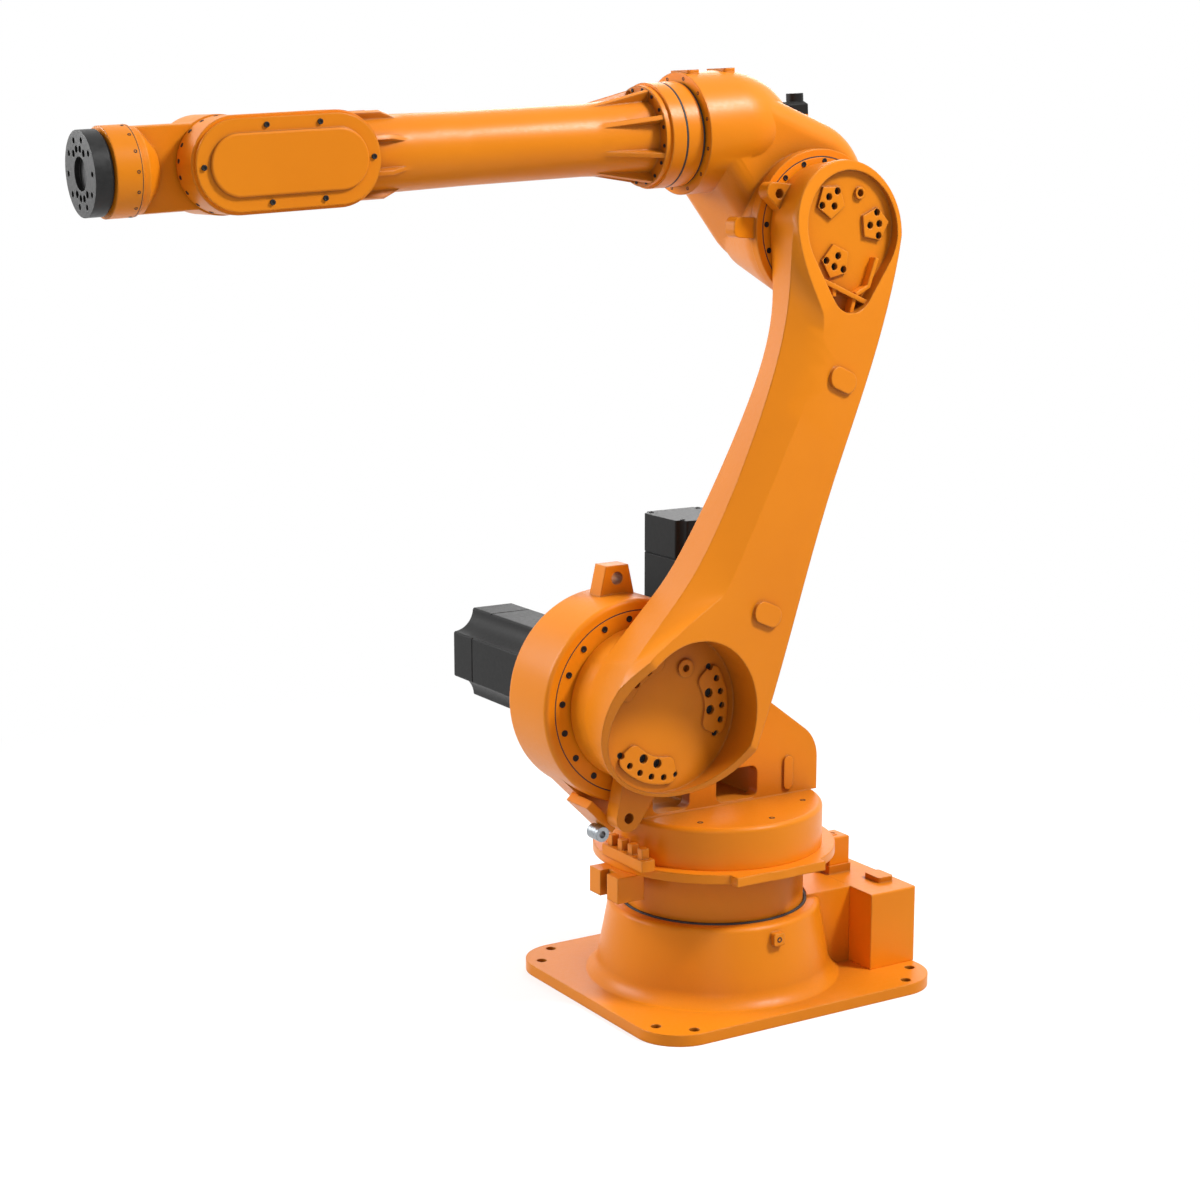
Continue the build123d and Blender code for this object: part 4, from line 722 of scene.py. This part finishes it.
# %% Screws on the motor ends and the connector lid
BACK = -SIDE
CORNERS = ((-1, -1), (-1, 1), (1, -1), (1, 1))
SHOULDER_MOTOR_CORNER = 44
SHOULDER_MOTOR_END = -403.5
ELBOW_MOTOR_CORNER = 36
ELBOW_MOTOR_END = forearm.at(forward=-80, up=-125, side=-243.5)
WAIST_MOTOR_CORNER = 50
WAIST_SCREW_SINK = 1.5
WAIST_MOTOR_END = top_middle("waist_motor") - UP * WAIST_SCREW_SINK * MM
for across, upward in CORNERS:
    place = shoulder.at(SHOULDER_MOTOR_CORNER * across, SHOULDER_MOTOR_CORNER * upward, SHOULDER_MOTOR_END)
    screw("turret", place, BACK, thread=7, height=3)
    corner = (forearm.forward * across + forearm.up * upward) * ELBOW_MOTOR_CORNER * MM
    screw("elbow", ELBOW_MOTOR_END + corner, BACK, thread=5, height=3)
    corner = Vector((across, upward, 0)) * WAIST_MOTOR_CORNER * MM
    screw("turret", WAIST_MOTOR_END + corner, UP, thread=6, height=3)
LID_SCREW_SIDE = (-132, 0, 132)
LID_SCREW_UP = (42, 138)
LID_SCREW_FORWARD = -336.5
for side in LID_SCREW_SIDE:
    for up in LID_SCREW_UP:
        screw("base", foot.at(LID_SCREW_FORWARD, up, side), -foot.forward, thread=5, height=3)
print("screws in all", count_screws())

# %% Make the screws
screw_finishes = {"black": (screw_black, "motor"), "painted": (orange_enamel, "paint")}
for (body, finish), rows in screws.items():
    coat, coat_slot = screw_finishes[finish]
    name = f"{body}_{finish}_screws"
    cloud = bpy.data.meshes.new(name)
    cloud.from_pydata([place for place, direction, size in rows], [], [])
    directions = cloud.attributes.new("direction", "FLOAT_VECTOR", "POINT")
    sizes = cloud.attributes.new("size", "FLOAT_VECTOR", "POINT")
    for number, (place, direction, size) in enumerate(rows):
        directions.data[number].vector = direction
        sizes.data[number].vector = size
    heads = new_object(name, cloud)
    modifier = heads.modifiers.new("socket_screws", "NODES")
    modifier.node_group = screw_tree
    for identifier, value in zip(screw_inputs, (HEAD_RADIUS, KEY_RADIUS, KEY_DEPTH, coat)):
        modifier[identifier] = value
    heads.update_tag()
    made = bpy.data.meshes.new_from_object(heads.evaluated_get(bpy.context.evaluated_depsgraph_get()))
    heads.modifiers.clear()
    heads.data = made
    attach(heads, body)
    print(heads.name, len(made.polygons), "faces")

# %% [markdown]
# A dark lip seal fills the narrow gap at each joint and keeps the grease in.
# A torus would be too round for a moulded ring, so the mesh is built by hand: a small profile with
# flattened sides is repeated round the joint's axis and its neighbours are joined with quads.

# %% Seals in the joint gaps
RING_STEPS = 96
PROFILE_STEPS = 12
SIDE_FLATNESS = 1.6


def seal_ring(name, body, centre, axis, inner, outer, width):
    """A rubber ring with a rounded section; the sizes are in millimetres."""
    work = bmesh.new()
    turn_up = UP.rotation_difference(axis).to_matrix()
    middle = (inner + outer) / 2
    half = (outer - inner) / 2
    circles = []
    for step in range(RING_STEPS):
        around = 2 * pi * step / RING_STEPS
        circle = []
        for corner in range(PROFILE_STEPS):
            angle = 2 * pi * corner / PROFILE_STEPS
            out = middle + half * cos(angle)
            along = width / 2 * max(-1.0, min(1.0, SIDE_FLATNESS * sin(angle)))
            local = Vector((out * cos(around), out * sin(around), along)) * MM
            circle.append(work.verts.new(centre + turn_up @ local))
        circles.append(circle)
    for step in range(RING_STEPS):
        here = circles[step]
        there = circles[(step + 1) % RING_STEPS]
        for corner in range(PROFILE_STEPS):
            after = (corner + 1) % PROFILE_STEPS
            work.faces.new((here[corner], there[corner], there[after], here[after]))
    bmesh.ops.recalc_face_normals(work, faces=work.faces)
    for face in work.faces:
        face.smooth = True
    mesh = bpy.data.meshes.new(name)
    work.to_mesh(mesh)
    work.free()
    mesh.materials.append(seal_rubber)
    ring = new_object(name, mesh)
    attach(ring, body)
    print(name, len(mesh.polygons), "faces on", body)


seal_ring("waist_seal", "base", foot.at(up=154.6), UP, inner=160.8, outer=166.4, width=6.4)
seal_ring("elbow_seal", "lower_arm", elbow.at(side=130), SIDE, inner=71, outer=98, width=4.6)
roll_axis = forearm.forward
seal_ring("roll_seal", "elbow", forearm.at(forward=196.5), roll_axis, inner=63, outer=85.4, width=5)
seal_ring("collar_seal", "forearm", forearm.at(forward=230), roll_axis, inner=83.2, outer=86.3, width=4.6)
seal_ring("shoulder_seam", "turret", shoulder.at(side=84), SIDE, inner=155.2, outer=157, width=0.8)
seal_ring("elbow_seam", "elbow", elbow.at(side=127), SIDE, inner=116.2, outer=118, width=0.8)
seal_ring("bend_seal", "forearm", wrist.at(side=19), SIDE, inner=47, outer=68, width=4.6)
seal_ring("flange_seal", "wrist", wrist.at(forward=182.5), wrist.forward, inner=41, outer=59, width=4.6)
seal_ring("wrist_seam", "wrist", wrist.at(forward=141), wrist.forward, inner=65.6, outer=67.3, width=1.2)

# %% [markdown]
# Two small forms are easier to add here than in the solids: the stiffening ribs in the pocket at
# the elbow end of the lower arm, and the lid that closes the connector box at the back.
# Both are flat outlines pushed out to a thickness, with their edges broken, so one helper makes them.

# %% Flat outlines with a thickness
EDGE_SEGMENTS = 3
EDGE_PROFILE = 0.5


def slab(name, body, outlines, direction, thickness, edge, finish):
    """Closed flat outlines pushed out along a direction, with rounded edges; sizes in millimetres."""
    work = bmesh.new()
    rise = direction * thickness * MM
    for outline in outlines:
        low = [work.verts.new(point) for point in outline]
        high = [work.verts.new(point + rise) for point in outline]
        work.faces.new(low)
        work.faces.new(high)
        for place in range(len(outline)):
            after = (place + 1) % len(outline)
            work.faces.new((low[place], low[after], high[after], high[place]))
    bmesh.ops.recalc_face_normals(work, faces=work.faces)
    bmesh.ops.bevel(
        work, geom=work.edges[:], offset=edge * MM,
        segments=EDGE_SEGMENTS, profile=EDGE_PROFILE, affect="EDGES",
    )
    bmesh.ops.recalc_face_normals(work, faces=work.faces)
    mesh = bpy.data.meshes.new(name)
    work.to_mesh(mesh)
    work.free()
    mesh.materials.append(finish)
    piece = new_object(name, mesh)
    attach(piece, body)
    print(name, len(mesh.polygons), "faces on", body)


# %% Ribs in the pocket of the lower arm
POCKET_FLOOR = 197
RIB_WIDTH = 8
RIB_HEIGHT = 16
RIB_EDGE = 1.6
RIB_LINES = (
    ((-70, 828), (-73, 778), (-54, 756)),
    ((-54, 752), (-58, 722)),
    ((-5, 757), (-14, 737)),
)


def strip(points, width):
    """The outline of a strip of even width along a bent line of (forward, up) points."""
    left = []
    right = []
    for place, point in enumerate(points):
        before = Vector(points[max(place - 1, 0)])
        after = Vector(points[min(place + 1, len(points) - 1)])
        along = (after - before).normalized()
        out = Vector((-along.y, along.x)) * width / 2
        left.append(Vector(point) + out)
        right.append(Vector(point) - out)
    return left + right[::-1]


rib_outlines = [
    [lower_arm.at(point.x, point.y, POCKET_FLOOR) for point in strip(line, RIB_WIDTH)]
    for line in RIB_LINES
]
slab("pocket_ribs", "lower_arm", rib_outlines, SIDE, RIB_HEIGHT, RIB_EDGE, orange_enamel)

# %% Lid of the connector box
LID_SEAT = -332.5
LID_HALF_WIDTH = 146
LID_LOW = 30
LID_HIGH = 150
LID_CORNER = 10
LID_THICK = 4.5
LID_EDGE = 0.8
CORNER_STEPS = 5
side_middle = LID_HALF_WIDTH - LID_CORNER
corner_middles = (
    (side_middle, LID_HIGH - LID_CORNER),
    (-side_middle, LID_HIGH - LID_CORNER),
    (-side_middle, LID_LOW + LID_CORNER),
    (side_middle, LID_LOW + LID_CORNER),
)
lid = []
for quarter, (side, up) in enumerate(corner_middles):
    for step in range(CORNER_STEPS + 1):
        turn = radians(90 * (quarter + step / CORNER_STEPS))
        lid.append(foot.at(LID_SEAT, up + LID_CORNER * sin(turn), side + LID_CORNER * cos(turn)))
slab("connector_lid", "base", [lid], -foot.forward, LID_THICK, LID_EDGE, orange_enamel)

# %% [markdown]
# The studio is a plain pale floor in soft light, and the background is white.
# The floor is lit like any surface near the machine, so it holds its shadow, and it fades into the
# white of the background further out, so that no horizon shows.
# The white is shown to the camera and to reflections only; it never adds light to the machine.

# %% What the camera and reflections see
def seen_rays(tree):
    """One where a ray comes from the camera, a reflection or a clear piece, and zero elsewhere."""
    path = tree.nodes.new("ShaderNodeLightPath")
    mirror = maths(tree, "MAXIMUM", path.outputs["Is Camera Ray"], path.outputs["Is Glossy Ray"])
    return maths(tree, "MAXIMUM", mirror, path.outputs["Is Transmission Ray"])


def mix_shaders(tree, amount, first, second):
    """A shader between two, by a mask."""
    node = tree.nodes.new("ShaderNodeMixShader")
    join(tree, amount, node.inputs["Fac"])
    join(tree, first, node.inputs[1])
    join(tree, second, node.inputs[2])
    return node.outputs["Shader"]


# %% Floor
FLOOR_SIZE = 12.0
FLOOR_GREY = (0.46, 0.46, 0.46, 1)
FLOOR_ROUGH = 0.9
FLOOR_SHINE = 0.1
FLOOR_LIFT = 0.60
FADE_START = 0.9
FADE_END = 2.4
half = FLOOR_SIZE / 2
floor_corners = [(-half, -half, 0), (half, -half, 0), (half, half, 0), (-half, half, 0)]
floor_mesh = bpy.data.meshes.new("studio_floor")
floor_mesh.from_pydata(floor_corners, [], [(0, 1, 2, 3)])
floor = new_object("studio_floor", floor_mesh)
floor_white, tree, shader = new_material("floor_white")
shader.inputs["Base Color"].default_value = FLOOR_GREY
shader.inputs["Roughness"].default_value = FLOOR_ROUGH
shader.inputs["Specular IOR Level"].default_value = FLOOR_SHINE
where = add(tree, "ShaderNodeTexCoord")
distance = add(tree, "ShaderNodeVectorMath", operation="LENGTH")
join(tree, where.outputs["Object"], distance.inputs[0])
fade = mapped(tree, distance.outputs["Value"], FADE_START, FADE_END, way="SMOOTHSTEP")
lift = add(tree, "ShaderNodeEmission", Strength=FLOOR_LIFT)
near = tree.nodes.new("ShaderNodeAddShader")
join(tree, shader.outputs["BSDF"], near.inputs[0])
join(tree, lift.outputs["Emission"], near.inputs[1])
white = tree.nodes.new("ShaderNodeEmission")
shown = mix_shaders(tree, fade, near.outputs["Shader"], white.outputs["Emission"])
surface = mix_shaders(tree, seen_rays(tree), shader.outputs["BSDF"], shown)
output = next(node for node in tree.nodes if node.type == "OUTPUT_MATERIAL")
join(tree, surface, output.inputs["Surface"])
floor_mesh.materials.append(floor_white)
print("floor", FLOOR_SIZE, "m wide")

# %% [markdown]
# The light on the machine is a dim sky that grows brighter overhead, and four soft lamps.
# The key stands high on the right and models the castings, one on the left gives their flanks a sheen,
# a weak one beside the camera opens the shade, and one behind serves the views from the back.

# %% World
SKY_STRENGTH = 0.66
HORIZON_STRENGTH = 0.12
SKY_TOP = 0.9
WHITE = (1, 1, 1, 1)
world = bpy.data.worlds.new("studio_world")
scene.world = world
world.use_nodes = True
tree = world.node_tree
tree.nodes.clear()
where = add(tree, "ShaderNodeTexCoord")
height = add(tree, "ShaderNodeSeparateXYZ")
join(tree, where.outputs["Generated"], height.inputs[0])
glow = mapped(tree, height.outputs["Z"], 0.0, SKY_TOP, HORIZON_STRENGTH, SKY_STRENGTH)
around = tree.nodes.new("ShaderNodeBackground")
join(tree, glow, around.inputs["Strength"])
behind = add(tree, "ShaderNodeBackground", Color=WHITE, Strength=1.0)
sky = mix_shaders(tree, seen_rays(tree), around.outputs["Background"], behind.outputs["Background"])
world_output = tree.nodes.new("ShaderNodeOutputWorld")
join(tree, sky, world_output.inputs["Surface"])
print("sky from", HORIZON_STRENGTH, "to", SKY_STRENGTH)

# %% Lamps
LAMP_TARGET = Vector((0.2, 0.1, 0.9))


def soft_lamp(name, place, size, power):
    """A square soft light that looks at the machine; size in metres, power in watts."""
    data = bpy.data.lights.new(name, "AREA")
    data.energy = power
    data.size = size
    aim(new_object(name, data), place, LAMP_TARGET - Vector(place))


soft_lamp("key_light", place=(-2.3, 2.8, 4.9), size=1.0, power=290)
soft_lamp("left_light", place=(2.8, -2.2, 2.4), size=1.8, power=116)
soft_lamp("front_light", place=(2.2, 3.8, 1.2), size=1.6, power=16)
soft_lamp("back_light", place=(-2.4, -3.4, 3.0), size=2.0, power=56)
scene.view_settings.view_transform = "Standard"
